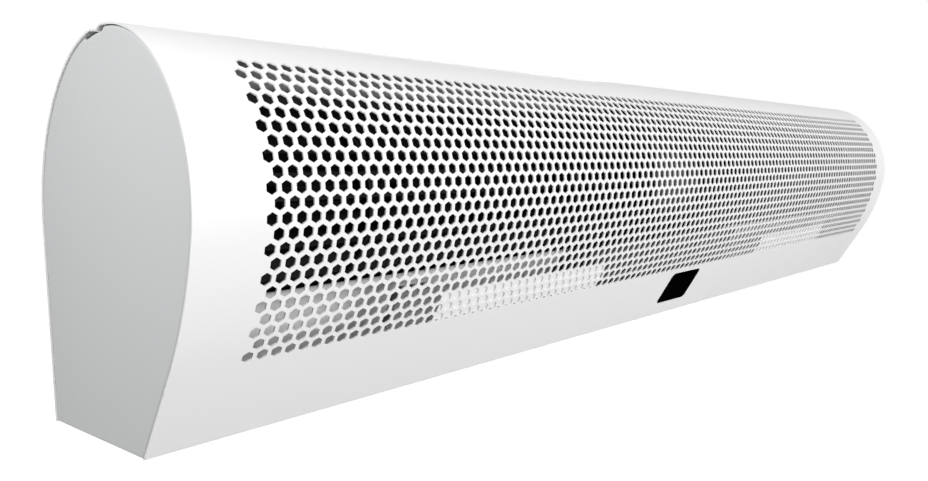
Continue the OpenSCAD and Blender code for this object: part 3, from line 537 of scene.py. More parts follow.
def join_rings(work, first, second, skipped=frozenset()):
    """The faces between two closed rings of corners, apart from those at skipped corners."""
    after = [(k + 1) % len(first) for k in range(len(first))]
    return [work.faces.new((first[k], first[n], second[n], second[k]))
            for k, n in enumerate(after) if not skipped & {k, n}]


def settle(piece):
    """Makes a piece and its modifiers one plain mesh."""
    graph = bpy.context.evaluated_depsgraph_get()
    mesh = bpy.data.meshes.new_from_object(piece.evaluated_get(graph))
    spent = piece.data
    piece.modifiers.clear()
    piece.data = mesh
    bpy.data.meshes.remove(spent)


def soften_normals(piece, sharp=30):
    """Shades a piece smooth, with its edges over that many degrees kept crisp."""
    piece.data.shade_smooth()
    piece.data.set_sharp_from_angle(angle=radians(sharp))


def hand_over(piece, nodes, slot, finish=None):
    """Puts a finished piece in the place of its CAD nodes, on their body and in their finish."""
    piece.data.materials.clear()
    piece.data.materials.append(FINISHES[finish or slot])
    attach(piece, BODY_OF[nodes[0]])
    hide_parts(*nodes)


def new_tree(name, sockets):
    """A Geometry Nodes tree with one geometry in, one out and its named inputs."""
    tree = bpy.data.node_groups.new(name, "GeometryNodeTree")
    tree.interface.new_socket("Geometry", in_out="INPUT", socket_type="NodeSocketGeometry")
    for label, kind in sockets.items():
        tree.interface.new_socket(label, in_out="INPUT", socket_type="NodeSocket" + kind)
    tree.interface.new_socket("Geometry", in_out="OUTPUT", socket_type="NodeSocketGeometry")
    return tree, add(tree, "NodeGroupInput").outputs


def end_tree(tree, geometry, material):
    whole = add(tree, "GeometryNodeRealizeInstances", {"Geometry": geometry}).outputs[0]
    dressed = add(tree, "GeometryNodeSetMaterial", {"Geometry": whole, "Material": material}).outputs[0]
    add(tree, "NodeGroupOutput", {"Geometry": dressed})


def grow(piece, tree, values, helpers=()):
    """Runs a tree on a piece with its inputs set, and keeps the result as a plain mesh."""
    modifier = piece.modifiers.new(tree.name, "NODES")
    modifier.node_group = tree
    for item in tree.interface.items_tree:
        if item.in_out == "INPUT" and item.name in values:
            modifier[item.identifier] = values[item.name]
    bpy.context.view_layer.update()
    settle(piece)
    for helper in helpers:
        bpy.data.objects.remove(helper)


# --- bent sheets ------------------------


def round_rectangle(centre, width, height, radius, steps=5):
    """A closed ring of points round a rectangle with round corners."""
    ring = []
    for quarter in range(4):
        side_x = 1 if quarter in (0, 3) else -1
        side_y = 1 if quarter < 2 else -1
        for k in range(steps + 1):
            a = radians(90 * quarter + 90 * k / steps)
            ring.append((centre[0] + side_x * (width / 2 - radius) + radius * cos(a),
                         centre[1] + side_y * (height / 2 - radius) + radius * sin(a)))
    return ring


def circle_ring(centre, radius, steps=32):
    return [(centre[0] + radius * cos(2 * pi * k / steps), centre[1] + radius * sin(2 * pi * k / steps))
            for k in range(steps)]


def rounded_edge(radius, steps):
    """A quarter round as points: how far in from the edge, and how far below the face."""
    turns = [radians(90 * k / steps) for k in range(steps + 1)]
    return [(radius * (1 - sin(a)), radius * (1 - cos(a))) for a in turns]


def inside(x, y, ring):
    """Whether a point lies inside a closed ring."""
    found = False
    for (ax, ay), (bx, by) in zip(ring, ring[1:] + ring[:1]):
        if (ay > y) != (by > y) and x < ax + (y - ay) * (bx - ax) / (by - ay):
            found = not found
    return found


def flat_sheet(name, xs, us, kept, holes=()):
    """A flat sheet on the grid lines xs and us: the cells that kept() accepts, less the holes.

    Grid corners in a hole's box, or in the clear band round it, are left out.
    """
    clear = 0.0008
    cells = {(i, j) for i in range(len(xs) - 1) for j in range(len(us) - 1)
             if kept((xs[i] + xs[i + 1]) / 2, (us[j] + us[j + 1]) / 2)}
    frames = [(min(p[0] for p in ring) - clear, max(p[0] for p in ring) + clear,
               min(p[1] for p in ring) - clear, max(p[1] for p in ring) + clear) for ring in holes]
    spots, points, edges = {}, [], []

    def spot(i, j):
        if (i, j) not in spots:
            spots[i, j] = len(points)
            points.append(Vector((xs[i], us[j])))
        return spots[i, j]

    for i, j in sorted(cells):
        for a, b, beside in (((i, j), (i + 1, j), (i, j - 1)), ((i + 1, j), (i + 1, j + 1), (i + 1, j)),
                             ((i + 1, j + 1), (i, j + 1), (i, j + 1)), ((i, j + 1), (i, j), (i - 1, j))):
            if beside not in cells:
                edges.append((spot(*a), spot(*b)))
        for corner in ((i, j), (i + 1, j), (i, j + 1), (i + 1, j + 1)):
            x, u = xs[corner[0]], us[corner[1]]
            if not any(lo_x < x < hi_x and lo_u < u < hi_u for lo_x, hi_x, lo_u, hi_u in frames):
                spot(*corner)
    for ring in holes:
        first = len(points)
        points += [Vector(p) for p in ring]
        edges += [(first + k, first + (k + 1) % len(ring)) for k in range(len(ring))]

    corners, _, triangles, *_ = delaunay_2d_cdt(points, edges, [], 0, SAME_POINT)
    faces = []
    for triangle in triangles:
        a, b, c = (corners[k] for k in triangle)
        x, u = (a.x + b.x + c.x) / 3, (a.y + b.y + c.y) / 3
        cell = (bisect_right(xs, x) - 1, bisect_right(us, u) - 1)
        area = (b - a).cross(c - a)
        if cell in cells and abs(area) > SLIVER and not any(inside(x, u, ring) for ring in holes):
            faces.append(tuple(triangle) if area > 0 else tuple(reversed(triangle)))
    return mesh_of(name, [(p.x, p.y, 0) for p in corners], faces)


def guide_curve(name, line):
    """A sheet line as a curve object, for a tree to bend a sheet along."""
    curve = bpy.data.curves.new(name, "CURVE")
    curve.dimensions = "3D"
    spline = curve.splines.new("POLY")
    spline.points.add(len(line.points) - 1)
    for point, spot in zip(spline.points, line.points):
        point.co = (*placed(0, spot), 1)
    return new_object(name, curve)


def bend_along(tree, geometry, guide):
    """Nodes that lay a flat sheet along a guide curve: X stays and Y becomes the length along it."""
    curve = add(tree, "GeometryNodeObjectInfo", {"Object": guide}).outputs["Geometry"]
    position = add(tree, "GeometryNodeInputPosition").outputs[0]
    flat = add(tree, "ShaderNodeSeparateXYZ", {0: position}).outputs
    inputs = {"Curves": curve, "Length": flat["Y"]}
    sample = add(tree, "GeometryNodeSampleCurve", inputs, mode="LENGTH").outputs["Position"]
    spot = add(tree, "ShaderNodeSeparateXYZ", {0: sample}).outputs
    bent = add(tree, "ShaderNodeCombineXYZ", {0: flat["X"], 1: spot["Y"], 2: spot["Z"]}).outputs[0]
    moved = add(tree, "GeometryNodeSetPosition", {"Geometry": geometry, "Position": bent}).outputs[0]
    return add(tree, "GeometryNodeSetShadeSmooth", {"Geometry": moved}).outputs[0]


def grid_at(tree, columns, rows, step_x, step_y, first_x, first_y):
    """A grid of points with its first one at the given place."""
    size_x = arith(tree, "MULTIPLY", arith(tree, "SUBTRACT", columns, 1), step_x)
    size_y = arith(tree, "MULTIPLY", arith(tree, "SUBTRACT", rows, 1), step_y)
    inputs = {"Size X": size_x, "Size Y": size_y, "Vertices X": columns, "Vertices Y": rows}
    grid = add(tree, "GeometryNodeMeshGrid", inputs).outputs["Mesh"]
    middle = add(tree, "ShaderNodeCombineXYZ", {
        0: arith(tree, "ADD", first_x, arith(tree, "MULTIPLY", size_x, 0.5)),
        1: arith(tree, "ADD", first_y, arith(tree, "MULTIPLY", size_y, 0.5)),
    }).outputs[0]
    return add(tree, "GeometryNodeTransform", {"Geometry": grid, "Translation": middle}).outputs[0]


def perforation_tree():
    """Fills a sheet's open field with perforated tiles in staggered rows and bends it to its guide."""
    tree, given = new_tree("perforated_sheet", {
        "Tile": "Object", "Guide": "Object", "Pitch": "Float", "Row Step": "Float", "Columns": "Int",
        "Row Pairs": "Int", "First X": "Float", "First Row": "Float", "Material": "Material",
    })
    tile = add(tree, "GeometryNodeObjectInfo", {"Object": given["Tile"]}).outputs["Geometry"]
    two_rows = arith(tree, "MULTIPLY", given["Row Step"], 2.0)
    long_rows = grid_at(tree, given["Columns"], given["Row Pairs"], given["Pitch"], two_rows,
                        given["First X"], given["First Row"])
    short_rows = grid_at(tree, arith(tree, "SUBTRACT", given["Columns"], 1), given["Row Pairs"],
                         given["Pitch"], two_rows,
                         arith(tree, "ADD", given["First X"], arith(tree, "MULTIPLY", given["Pitch"], 0.5)),
                         arith(tree, "ADD", given["First Row"], given["Row Step"]))
    joined = add(tree, "GeometryNodeJoinGeometry")
    tree.links.new(given["Geometry"], joined.inputs[0])
    for rows in (long_rows, short_rows):
        tiles = add(tree, "GeometryNodeInstanceOnPoints", {"Points": rows, "Instance": tile}).outputs[0]
        solid = add(tree, "GeometryNodeRealizeInstances", {"Geometry": tiles}).outputs[0]
        tree.links.new(solid, joined.inputs[0])
    inputs = {"Geometry": joined.outputs[0], "Distance": TILE_WELD}
    merged = add(tree, "GeometryNodeMergeByDistance", inputs).outputs[0]
    end_tree(tree, bend_along(tree, merged, given["Guide"]), given["Material"])
    return tree


def bent_sheet_tree():
    """Bends a flat sheet to its guide."""
    tree, given = new_tree("bent_sheet", {"Guide": "Object", "Material": "Material"})
    end_tree(tree, bend_along(tree, given["Geometry"], given["Guide"]), given["Material"])
    return tree


def hexagon_tile():
    """One tile of the perforated field: six faces round a hexagonal hole that stands on its point."""
    w, h = HOLE_PITCH / 2, ROW_STEP / 2
    point = HOLE_ACROSS / 2 / cos(radians(30))
    rim = [(point * cos(radians(90 + 60 * k)), point * sin(radians(90 + 60 * k)), 0) for k in range(6)]
    border = [(0, h, 0), (-w, h, 0), (-w, -h, 0), (0, -h, 0), (w, -h, 0), (w, h, 0)]
    faces = [(k, 6 + k, 6 + (k + 1) % 6, (k + 1) % 6) for k in range(6)]
    return new_object("hexagon_tile", mesh_of("hexagon_tile", border + rim, [f[::-1] for f in faces]))


def thicken(piece, thickness=SHEET_T):
    """Gives a bent sheet its thickness, inwards."""
    solid = piece.modifiers.new("thickness", "SOLIDIFY")
    solid.thickness = thickness
    solid.offset = -1
    solid.use_even_offset = True
    settle(piece)


def grid_lines(start, *stretches):
    """Grid lines from start on, where each stretch gives its end and its count of steps."""
    lines = [start]
    for end, count in stretches:
        lines += [start + (end - start) * k / count for k in range(1, count)] + [end]
        start = end
    return lines


def inset_points(line, start, end, inset):
    """Points of a sheet line between two lengths along it, moved inwards."""
    points, length = [], 0.0
    for a, b in zip(line.points, line.points[1:]):
        along = (b - a).normalized()
        if start < length < end:
            points.append(a + inset * Vector((along.y, -along.x)))
        length += (b - a).length
    return points


def add_strip(work, low, high, gap, thickness, x_lo, x_hi):
    """A strip behind the lowest hole rows that follows the cover's inside at that gap."""
    line, marks = cover_line()
    start, end = marks["zero"] + low, marks["zero"] + high
    outer = inset_points(line, start, end, COVER_T + gap)
    inner = inset_points(line, start, end, COVER_T + gap + thickness)
    ends = [[work.verts.new(placed(x, spot)) for spot in outer + inner[::-1]] for x in (x_lo, x_hi)]
    faces = [work.faces.new(ends[0]), work.faces.new(ends[1][::-1]), *join_rings(work, ends[1], ends[0])]
    bmesh.ops.recalc_face_normals(work, faces=faces)


def make_cover():
    """The perforated front with its window opening, and the blanking strips inside it."""
    line, marks = cover_line()
    half = HOLE_PITCH / 2
    field_left = LEFT + FIRST_HOLE - half
    field_right = field_left + LONG_ROW * HOLE_PITCH
    field_low = marks["zero"] + LOWEST_ROW - ROW_STEP / 2
    field_high = field_low + ROW_COUNT * ROW_STEP
    trimmed = (marks["crown"] + marks["bend"]) / 2
    xs = grid_lines(LEFT, (-FRAME_HALF, 1), (field_left, 1), (field_right, 2 * LONG_ROW), (FRAME_HALF, 1),
                    (RIGHT, 1))
    us = grid_lines(0.0, (marks["foot"], 1), (marks["toe"], 5), (field_low, 1), (field_high, ROW_COUNT),
                    (marks["crown"], 12), (marks["bend"], 10), (marks["lip"], 1))

    def kept(x, u):
        """All but the field, and short of the end plates' flanges at the foot and the lip."""
        if u > trimmed or u < marks["foot"]:
            return abs(x) < FRAME_HALF
        if not field_low < u < field_high:
            return True
        blank = half if int((u - field_low) / ROW_STEP) % 2 else 0.0
        return not field_left + blank < x < field_right - blank

    window = round_rectangle((WINDOW_X, marks["zero"] + WINDOW_S), WINDOW_W, WINDOW_H, WINDOW_R)
    cover = new_object("perforated_cover", flat_sheet("perforated_cover", xs, us, kept, [window]))
    tile, guide = hexagon_tile(), guide_curve("cover_guide", line)
    grow(cover, perforation_tree(), {
        "Tile": tile, "Guide": guide, "Pitch": HOLE_PITCH, "Row Step": ROW_STEP, "Columns": LONG_ROW,
        "Row Pairs": ROW_COUNT // 2, "First X": LEFT + FIRST_HOLE, "First Row": marks["zero"] + LOWEST_ROW,
        "Material": FINISHES["cover_white"],
    }, (tile, guide))
    thicken(cover, COVER_T)
    work = bmesh.new()
    work.from_mesh(cover.data)
    for side in (-1, 1):
        reach = sorted((side * BLANK_INNER, side * BLANK_OUTER))
        add_strip(work, BLANK_START, BLANK_END, BLANK_GAP, BLANK_T, *reach)
    work.to_mesh(cover.data)
    work.free()
    soften_normals(cover)
    hand_over(cover, ["front_cover"], "cover_white")


# Openings of the rear shell, as in the wall bracket and the grommet that pass them.
HOOK_X = 0.230
HOOK_SLOT_W = 0.034
HOOK_SLOT_LOW = 0.052
HOOK_SLOT_HIGH = 0.0703
HOOK_SLOT_R = 0.0006
BOLT_X = 0.320
BOLT_Z = (0.038, 0.082)
BOLT_CLEAR_R = 0.008
ENTRY_X = 0.025
ENTRY_TURN = 150
ENTRY_R = 0.00655


def make_shell():
    """The top behind the seam and the back, with slots for the hooks and holes for bolts and cord."""
    line, marks = shell_line()

    def up_back(z):
        return marks["nape"] + nape_c.y - z

    entry = (ENTRY_X, marks["crown"] + NAPE_R * radians(ENTRY_TURN - CROWN_END))
    holes = [circle_ring(entry, ENTRY_R)]
    for side in (-1, 1):
        slot_u = up_back((HOOK_SLOT_LOW + HOOK_SLOT_HIGH) / 2)
        slot_h = HOOK_SLOT_HIGH - HOOK_SLOT_LOW
        holes.append(round_rectangle((side * HOOK_X, slot_u), HOOK_SLOT_W, slot_h, HOOK_SLOT_R, 2))
        holes += [circle_ring((side * BOLT_X, up_back(z)), BOLT_CLEAR_R) for z in BOLT_Z]
    xs = grid_lines(LEFT, (-FRAME_HALF, 1), (FRAME_HALF, 60), (RIGHT, 1))
    us = grid_lines(0.0, (marks["lip"], 1), (marks["bend"], 10), (marks["crown"], 12), (marks["nape"], 24),
                    (marks["back"], 6), (marks["heel"], 5), (marks["foot"], 1))

    def kept(x, u):
        return marks["bend"] < u < marks["heel"] or abs(x) < FRAME_HALF

    shell = new_object("bent_shell", flat_sheet("bent_shell", xs, us, kept, holes))
    guide = guide_curve("shell_guide", line)
    grow(shell, bent_sheet_tree(), {"Guide": guide, "Material": FINISHES["shell_white"]}, (guide,))
    thicken(shell)
    soften_normals(shell)
    hand_over(shell, ["rear_shell"], "shell_white")


# --- end plates ------------------------


def islands(node):
    """The separate solids of a CAD node, each as its list of points, in order of their place."""
    work = node_work(node)
    left, groups = set(work.verts), []
    while left:
        group, queue = [], [left.pop()]
        while queue:
            vert = queue.pop()
            group.append(vert.co.copy())
            for edge in vert.link_edges:
                other = edge.other_vert(vert)
                if other in left:
                    left.remove(other)
                    queue.append(other)
        groups.append(group)
    work.free()
    return sorted(groups, key=lambda g: tuple(round(min(p[k] for p in g), 4) for k in range(3)))


def box_of(points):
    return (Vector([min(p[k] for p in points) for k in range(3)]),
            Vector([max(p[k] for p in points) for k in range(3)]))


def pressed_pan(name, side):
    """A pan with a round pressed edge and a flange, its face towards that side, with weld studs.

    Under the top seam its edge is relieved and has no flange, so that the sheets' lips pass it.
    """
    face_x = side * (HALF_L - END_INSET)
    inset = SHEET_T + END_GAP
    rings = [(inset + END_EDGE + END_RIM, 0.0)]
    rings += [(inset + into, depth) for into, depth in rounded_edge(END_EDGE, 5)]
    rings.append((inset, END_FLANGE))
    work = bmesh.new()
    loops, relieved = [], set()
    for ring_inset, depth in rings:
        outline = pan_outline(ring_inset)
        for k, spot in enumerate(outline):
            if END_RELIEF_SPAN[0] < spot.x < END_RELIEF_SPAN[1] and spot.y > BODY_H / 2:
                relieved.add(k)
                outline[k] = spot - Vector((0, END_RELIEF))
        loops.append([work.verts.new(placed(face_x - side * depth, spot)) for spot in outline])
    work.faces.new(loops[0])
    for inner, outer in zip(loops[:-1], loops[1:-1]):
        join_rings(work, inner, outer)
    join_rings(work, loops[-2], loops[-1], relieved)
    bmesh.ops.recalc_face_normals(work, faces=work.faces)
    if (work.faces[0].normal.x > 0) != (side > 0):
        bmesh.ops.reverse_faces(work, faces=work.faces)
    pan = piece_from(work, name)
    outer_count = len(pan.data.vertices)
    thicken(pan, END_T)
    floor_x = face_x - side * END_FACE_T
    for vert in pan.data.vertices[outer_count:]:
        if side * (vert.co.x - floor_x) > 0:
            vert.co.x = floor_x

    work = bmesh.new()
    work.from_mesh(pan.data)
    for group in islands("bearing_nuts"):
        lo, hi = box_of(group)
        centre = (lo + hi) / 2
        if (centre.x > 0) == (side > 0):
            middle = Vector((face_x - side * (END_T + STUD_L) / 2, centre.y, centre.z))
            stance = Matrix.Translation(middle) @ Matrix.Rotation(pi / 2, 4, "Y")
            bmesh.ops.create_cone(work, cap_ends=True, segments=24, radius1=STUD_R, radius2=STUD_R,
                                  depth=STUD_L + END_T / 2, matrix=stance)
    work.to_mesh(pan.data)
    work.free()
    soften_normals(pan)
    return pan


def make_end_plates():
    for side, word in ((-1, "left"), (1, "right")):
        plate = pressed_pan("pressed_plate_" + word, side)
        hand_over(plate, ["end_plate_" + word], "plate_grey")


# --- receiver window ------------------------


def make_window():
    """A flat pane with a rounded edge and a ledge behind the cover."""
    lean = radians(CHIN_LEAN)
    up = Vector((0, -sin(lean), cos(lean)))
    out = Vector((0, -cos(lean), -sin(lean)))
    middle = placed(WINDOW_X, toe(0)) + up * WINDOW_S
    width, height = WINDOW_W - 2 * WINDOW_PLAY, WINDOW_H - 2 * WINDOW_PLAY
    loops = [(-WINDOW_RIM, WINDOW_PROUD)]
    loops += [(-into, WINDOW_PROUD - depth) for into, depth in rounded_edge(WINDOW_EDGE, 4)]
    ledge, seat = WINDOW_LEDGE + WINDOW_PLAY, COVER_T + WINDOW_SEAT
    loops += [(0, -seat), (ledge, -seat), (ledge, -WINDOW_T)]
    work = bmesh.new()
    rings = []
    for grow_by, depth in loops:
        radius = max(WINDOW_R + grow_by, WINDOW_LEAST_R)
        ring = round_rectangle((0, 0), width + 2 * grow_by, height + 2 * grow_by, radius, 8)
        rings.append([work.verts.new(middle + Vector((x, 0, 0)) + up * y + out * depth) for x, y in ring])
    work.faces.new(rings[0])
    work.faces.new(rings[-1][::-1])
    for inner, outer in zip(rings, rings[1:]):
        join_rings(work, outer, inner)
    bmesh.ops.recalc_face_normals(work, faces=work.faces)
    pane = piece_from(work, "receiver_pane")
    soften_normals(pane)
    hand_over(pane, ["receiver_window"], "window_black")


# --- inside the ducts ------------------------


def merged_copy(node, name):
    """A CAD node's shape as a new piece, with its flat faces in one."""
    work = node_work(node)
    bmesh.ops.dissolve_limit(work, angle_limit=radians(1), verts=work.verts, edges=work.edges)
    return piece_from(work, name)


def make_tongues():
    """The pale sheets below the impellers, with the rolled tip a little lower on the same slope."""
    for word in ("left", "right"):
        tongue = merged_copy("tongue_" + word, "tongue_sheet_" + word)
        lo, hi = box_of([vert.co for vert in tongue.data.vertices])
        slope = (hi.y - lo.y) / (hi.z - lo.z)
        for vert in tongue.data.vertices:
            if vert.co.z > (lo.z + hi.z) / 2:
                vert.co += Vector((0, slope * TONGUE_LOWER, -TONGUE_LOWER))
        soften_normals(tongue)
        hand_over(tongue, ["tongue_" + word], "duct_zinc")


def make_volutes():
    """The sheets behind the impellers in near-black paint, partly painted shade for the dark inside, with
    the top edge of their crest a little lower.
    """
    for word in ("left", "right"):
        volute = merged_copy("volute_" + word, "volute_sheet_" + word)
        top = max(vert.co.z for vert in volute.data.vertices)
        for vert in volute.data.vertices:
            if vert.co.z > top - SHEET_T:
                vert.co.z -= CREST_LOWER
        soften_normals(volute)
        hand_over(volute, ["volute_" + word], "duct_zinc", "volute_dark")


def make_foam_pads():
    """Pads of foam stuck to the inside of the cover, at the places of the CAD solids."""
    work = bmesh.new()
    for group in islands("foam_pads"):
        lo, hi = box_of(group)
        add_strip(work, PAD_START, PAD_END, PAD_GAP, PAD_T, lo.x + PAD_TRIM, hi.x)
    pads = piece_from(work, "foam_strips")
    bevel = pads.modifiers.new("soft_edges", "BEVEL")
    bevel.width = PAD_EDGE
    bevel.segments = 3
    bevel.limit_method = "ANGLE"
    settle(pads)
    soften_normals(pads, 50)
    hand_over(pads, ["foam_pads"], "foam_grey")


# --- screws ------------------------

# Pan-head screws: the dome as radii and depths below its top, the thread and the cross recess.
SCREW_SIDES = 24
SCREW_TOP = 0.0006
HEAD_R = 0.0036
HEAD_H = 0.0016
HEAD_DOME = ((0.0022, 0.00005), (0.0029, 0.00015), (0.0034, 0.0004), (HEAD_R, 0.0007))
SHANK_R = 0.0019
THREAD_PITCH = 0.0008
THREAD_MARGIN = 0.0002
THREAD_ROOT = 0.84
THREAD_CREST_AT = 0.35
THREAD_ROOT_AT = 0.85
TIP_SHARE = 0.8
CROSS_ARM = 0.00042
CROSS_REACH = 0.0017
CROSS_DEPTH = 0.0009
CROSS_TAPER = 0.6


def screw_profile(length):
    """A screw's outline as radii and distances from its top: dome, underside of the head and thread."""
    profile = [(radius, SCREW_TOP + depth) for radius, depth in HEAD_DOME]
    profile += [(HEAD_R, HEAD_H), (SHANK_R, HEAD_H)]
    turns = max(2, int((length - HEAD_H) / THREAD_PITCH))
    pitch = (length - HEAD_H - 2 * THREAD_MARGIN) / turns
    for k in range(turns):
        z = HEAD_H + THREAD_MARGIN + k * pitch
        profile.append((SHANK_R, z + THREAD_CREST_AT * pitch))
        profile.append((SHANK_R * THREAD_ROOT, z + THREAD_ROOT_AT * pitch))
    return profile + [(SHANK_R * TIP_SHARE, length)]


def cross_outline():
    """The outline of a cross recess: the same three corners in each quarter."""
    outline = []
    quarter = [(CROSS_ARM, CROSS_ARM), (CROSS_ARM, CROSS_REACH), (-CROSS_ARM, CROSS_REACH)]
    for _ in range(4):
        outline += quarter
        quarter = [(-y, x) for x, y in quarter]
    return outline


def pan_head_screw(name, length):
    """A pan-head screw along +Z with a cross recess, a domed head and a threaded shank."""
    work = bmesh.new()
    circle = circle_ring((0, 0), 1, SCREW_SIDES)
    rings = [[work.verts.new((r * x, r * y, z)) for x, y in circle] for r, z in screw_profile(length)]
    for upper, lower in zip(rings, rings[1:]):
        join_rings(work, upper, lower)
    work.faces.new(rings[-1])
    cross = cross_outline()
    lip = [work.verts.new((x, y, SCREW_TOP)) for x, y in cross]
    deep = [work.verts.new((x * CROSS_TAPER, y * CROSS_TAPER, SCREW_TOP + CROSS_DEPTH)) for x, y in cross]
    join_rings(work, lip, deep)
    work.faces.new(deep)
    edges = [e for e in work.edges if len(e.link_faces) == 1 and
             (all(v in lip for v in e.verts) or all(v in rings[0] for v in e.verts))]
    bmesh.ops.bridge_loops(work, edges=edges)
    bmesh.ops.recalc_face_normals(work, faces=work.faces)
    screw = piece_from(work, name)
    soften_normals(screw)
    return screw


def screw_stance(points, axis):
    """Where a screw's head sits, which way the screw points and its length, from its CAD solid."""
    lo, hi = box_of(points)
    head, aim = (lo + hi) / 2, Vector((0, 0, 0))
    widths = [max(abs(p[0] - head[0]) for p in points if abs(p[axis] - end) < SAME_LEVEL)
              for end in (lo[axis], hi[axis])]
    head_first = widths[0] > widths[1]
    head[axis] = lo[axis] if head_first else hi[axis]
    aim[axis] = 1 if head_first else -1
    return head, aim, hi[axis] - lo[axis]


def screw_tree():
    """Sets one screw on each point, along the point's aim."""
    tree, given = new_tree("set_screws", {"Screw": "Object", "Material": "Material"})
    screw = add(tree, "GeometryNodeObjectInfo", {"Object": given["Screw"]}).outputs["Geometry"]
    aim = add(tree, "GeometryNodeInputNamedAttribute", {"Name": "aim"}, data_type="FLOAT_VECTOR").outputs[0]
    turned = add(tree, "FunctionNodeAlignRotationToVector", {"Vector": aim}, axis="Z").outputs[0]
    inputs = {"Points": given["Geometry"], "Instance": screw, "Rotation": turned}
    end_tree(tree, add(tree, "GeometryNodeInstanceOnPoints", inputs).outputs[0], given["Material"])
    return tree


def make_screws():
    """The cover, shell, end and duct screws: their places and aims are those of the CAD solids."""
    tree = screw_tree()
    for node, axis in (("cover_screws", 2), ("shell_screws", 2), ("end_screws", 1), ("duct_screws", 1)):
        heads, aims, lengths = zip(*(screw_stance(group, axis) for group in islands(node)))
        mesh = mesh_of(node + "_set", heads, [])
        attribute = mesh.attributes.new("aim", "FLOAT_VECTOR", "POINT")
        attribute.data.foreach_set("vector", [c for aim in aims for c in aim])
        screws = new_object(node + "_set", mesh)
        screw = pan_head_screw("screw", lengths[-1])
        grow(screws, tree, {"Screw": screw, "Material": FINISHES["screw_steel"]}, (screw,))
        hand_over(screws, [node], "screw_steel")


# --- finishes of the CAD nodes that keep their shape ------------------------

KEPT_NODES = {
    "bracket_zinc": ("wall_bracket",),
    # Near-black paint on the bay plates: their own black paint and painted shade for the dark inside behind
    # the holes.
    "volute_dark": ("bay_plate_left", "bay_plate_right"),
    "outlet_white": ("outlet_frame",),
    "vane_aluminium": ("vane_left", "vane_right"),
    "bush_plastic": ("vane_bushes",),
    "impeller_black": ("impeller_left", "impeller_right"),
    "shaft_steel": ("stub_shaft_left", "stub_shaft_right", "motor_shaft"),
    "stator_iron": ("motor_core", "motor_stator"),
    "screw_steel": ("hub_screws", "motor_bolts", "bearing_nuts"),
    "winding_copper": ("motor_windings",),
    "motor_enamel": ("motor_bell_left", "motor_bell_right"),
    "bush_bronze": ("motor_bushes", "bearing_bushes"),
    "ring_rubber": ("motor_rings", "bearing_rubbers"),
    "lead_black": ("motor_lead",),
    "bay_zinc": ("bearing_bracket_left", "bearing_bracket_right"),
    "box_black": ("control_tray", "control_lid"),
    "board_green": ("control_board", "receiver_board"),
    "part_blue": ("board_parts",),
    "capacitor_white": ("run_capacitor",),
    "terminal_ivory": ("terminal_block",),
    "grommet_rubber": ("cable_grommet",),
    "stud_brass": ("earth_stud",),
}


def dress_kept_nodes():
    """Puts each finish on the CAD nodes that wear it."""
    for finish, nodes in KEPT_NODES.items():
        for node in nodes:
            NODES[node].data.materials[0] = FINISHES[finish]


# --- camera, floor and light ------------------------

# The photograph's camera, near the left end and level with the upper half of the casing.
CAMERA_SPOT = (-0.6102, -0.4370, 0.0603)
CAMERA_AIM = (0.7354, 0.6730, -0.0796)
CAMERA_ROLL = 1.56
FOCAL_PIXELS = 815.5
PHOTO_WIDTH = 928

# The white studio: the floor's height, half its side, its own tone and the glow that the camera sees.
FLOOR_Z = -1.5
FLOOR_HALF = 9
FLOOR_TONE = 0.22
FLOOR_GLOW = 0.95
WORLD_LIGHT = 0.385
# Each lamp: its name, place, what it aims at, its width and height, and its power.
LAMPS = (
    ("key_above_front", (0.1, -1.95, 0.6), (0, 0, 0.05), (1.8, 1.2), 17.6),
    ("low_front", (-0.45, -1.7, -0.12), (-0.2, -0.1, 0.0), (1.2, 0.4), 13.6),
    ("fill_behind", (1.3, 1.6, 0.45), (0.1, 0, 0.03), (1.6, 0.8), 20.0),
    ("near_left_end", (-0.76, -0.17, 0.24), (-0.45, -0.09, 0.06), (0.2, 0.2), 0.9),
)


def facing(spot, direction):
    """A place for a camera or a lamp that looks in that direction."""
    return Matrix.Translation(spot) @ Vector(direction).to_track_quat("-Z", "Y").to_matrix().to_4x4()


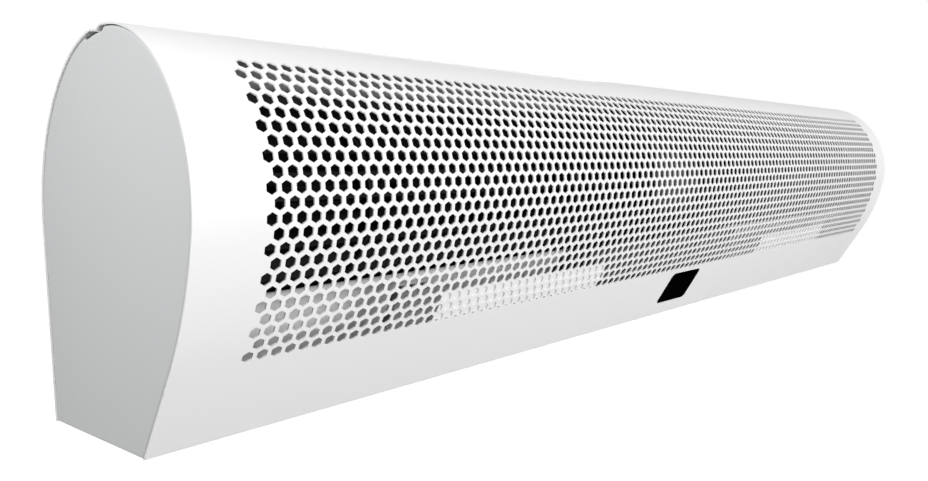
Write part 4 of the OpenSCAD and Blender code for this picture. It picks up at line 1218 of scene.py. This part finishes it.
def set_camera():
    camera = bpy.data.cameras.new("camera")
    camera.sensor_fit = "HORIZONTAL"
    camera.lens = FOCAL_PIXELS / PHOTO_WIDTH * camera.sensor_width
    camera.clip_start = 0.01
    holder = new_object("camera", camera)
    holder.matrix_world = facing(CAMERA_SPOT, CAMERA_AIM) @ Matrix.Rotation(radians(-CAMERA_ROLL), 4, "Z")
    bpy.context.scene.camera = holder


def seen_ray(tree):
    """1 for what the camera sees, directly or in a gloss or glass, and 0 for what lights surfaces."""
    rays = add(tree, "ShaderNodeLightPath").outputs
    first = arith(tree, "MAXIMUM", rays["Is Camera Ray"], rays["Is Glossy Ray"])
    return arith(tree, "MAXIMUM", first, rays["Is Transmission Ray"])


def make_floor():
    """A plain white floor, well below the casing."""
    corners = [(x * FLOOR_HALF, y * FLOOR_HALF, FLOOR_Z) for x, y in ((-1, -1), (1, -1), (1, 1), (-1, 1))]
    floor = new_object("floor", mesh_of("floor", corners, [(0, 1, 2, 3)]))
    material = bpy.data.materials.new("studio_floor")
    material.use_nodes = True
    tree = material.node_tree
    shader = tree.nodes["Principled BSDF"]
    shader.inputs["Base Color"].default_value = (FLOOR_TONE, FLOOR_TONE, FLOOR_TONE, 1)
    shader.inputs["Roughness"].default_value = 0.9
    shader.inputs["Emission Color"].default_value = (1, 1, 1, 1)
    tree.links.new(arith(tree, "MULTIPLY", seen_ray(tree), FLOOR_GLOW), shader.inputs["Emission Strength"])
    floor.data.materials.append(material)


def set_world():
    world = bpy.data.worlds.new("studio")
    bpy.context.scene.world = world
    world.use_nodes = True
    tree = world.node_tree
    tree.nodes["Background"].inputs["Color"].default_value = (1, 1, 1, 1)
    strength = spread(tree, seen_ray(tree), WORLD_LIGHT, 1.0)
    tree.links.new(strength, tree.nodes["Background"].inputs["Strength"])


def set_lamps():
    for name, spot, target, (width, height), power in LAMPS:
        light = bpy.data.lights.new(name, "AREA")
        light.shape = "RECTANGLE"
        light.size = width
        light.size_y = height
        light.energy = power
        lamp = new_object(name, light)
        lamp.matrix_world = facing(spot, Vector(target) - Vector(spot))


# --- the whole ------------------------

bpy.context.scene.view_settings.view_transform = "Standard"
set_camera()
set_world()
set_lamps()
make_floor()
make_cover()
make_shell()
make_end_plates()
make_window()
make_tongues()
make_volutes()
make_foam_pads()
make_screws()
dress_kept_nodes()
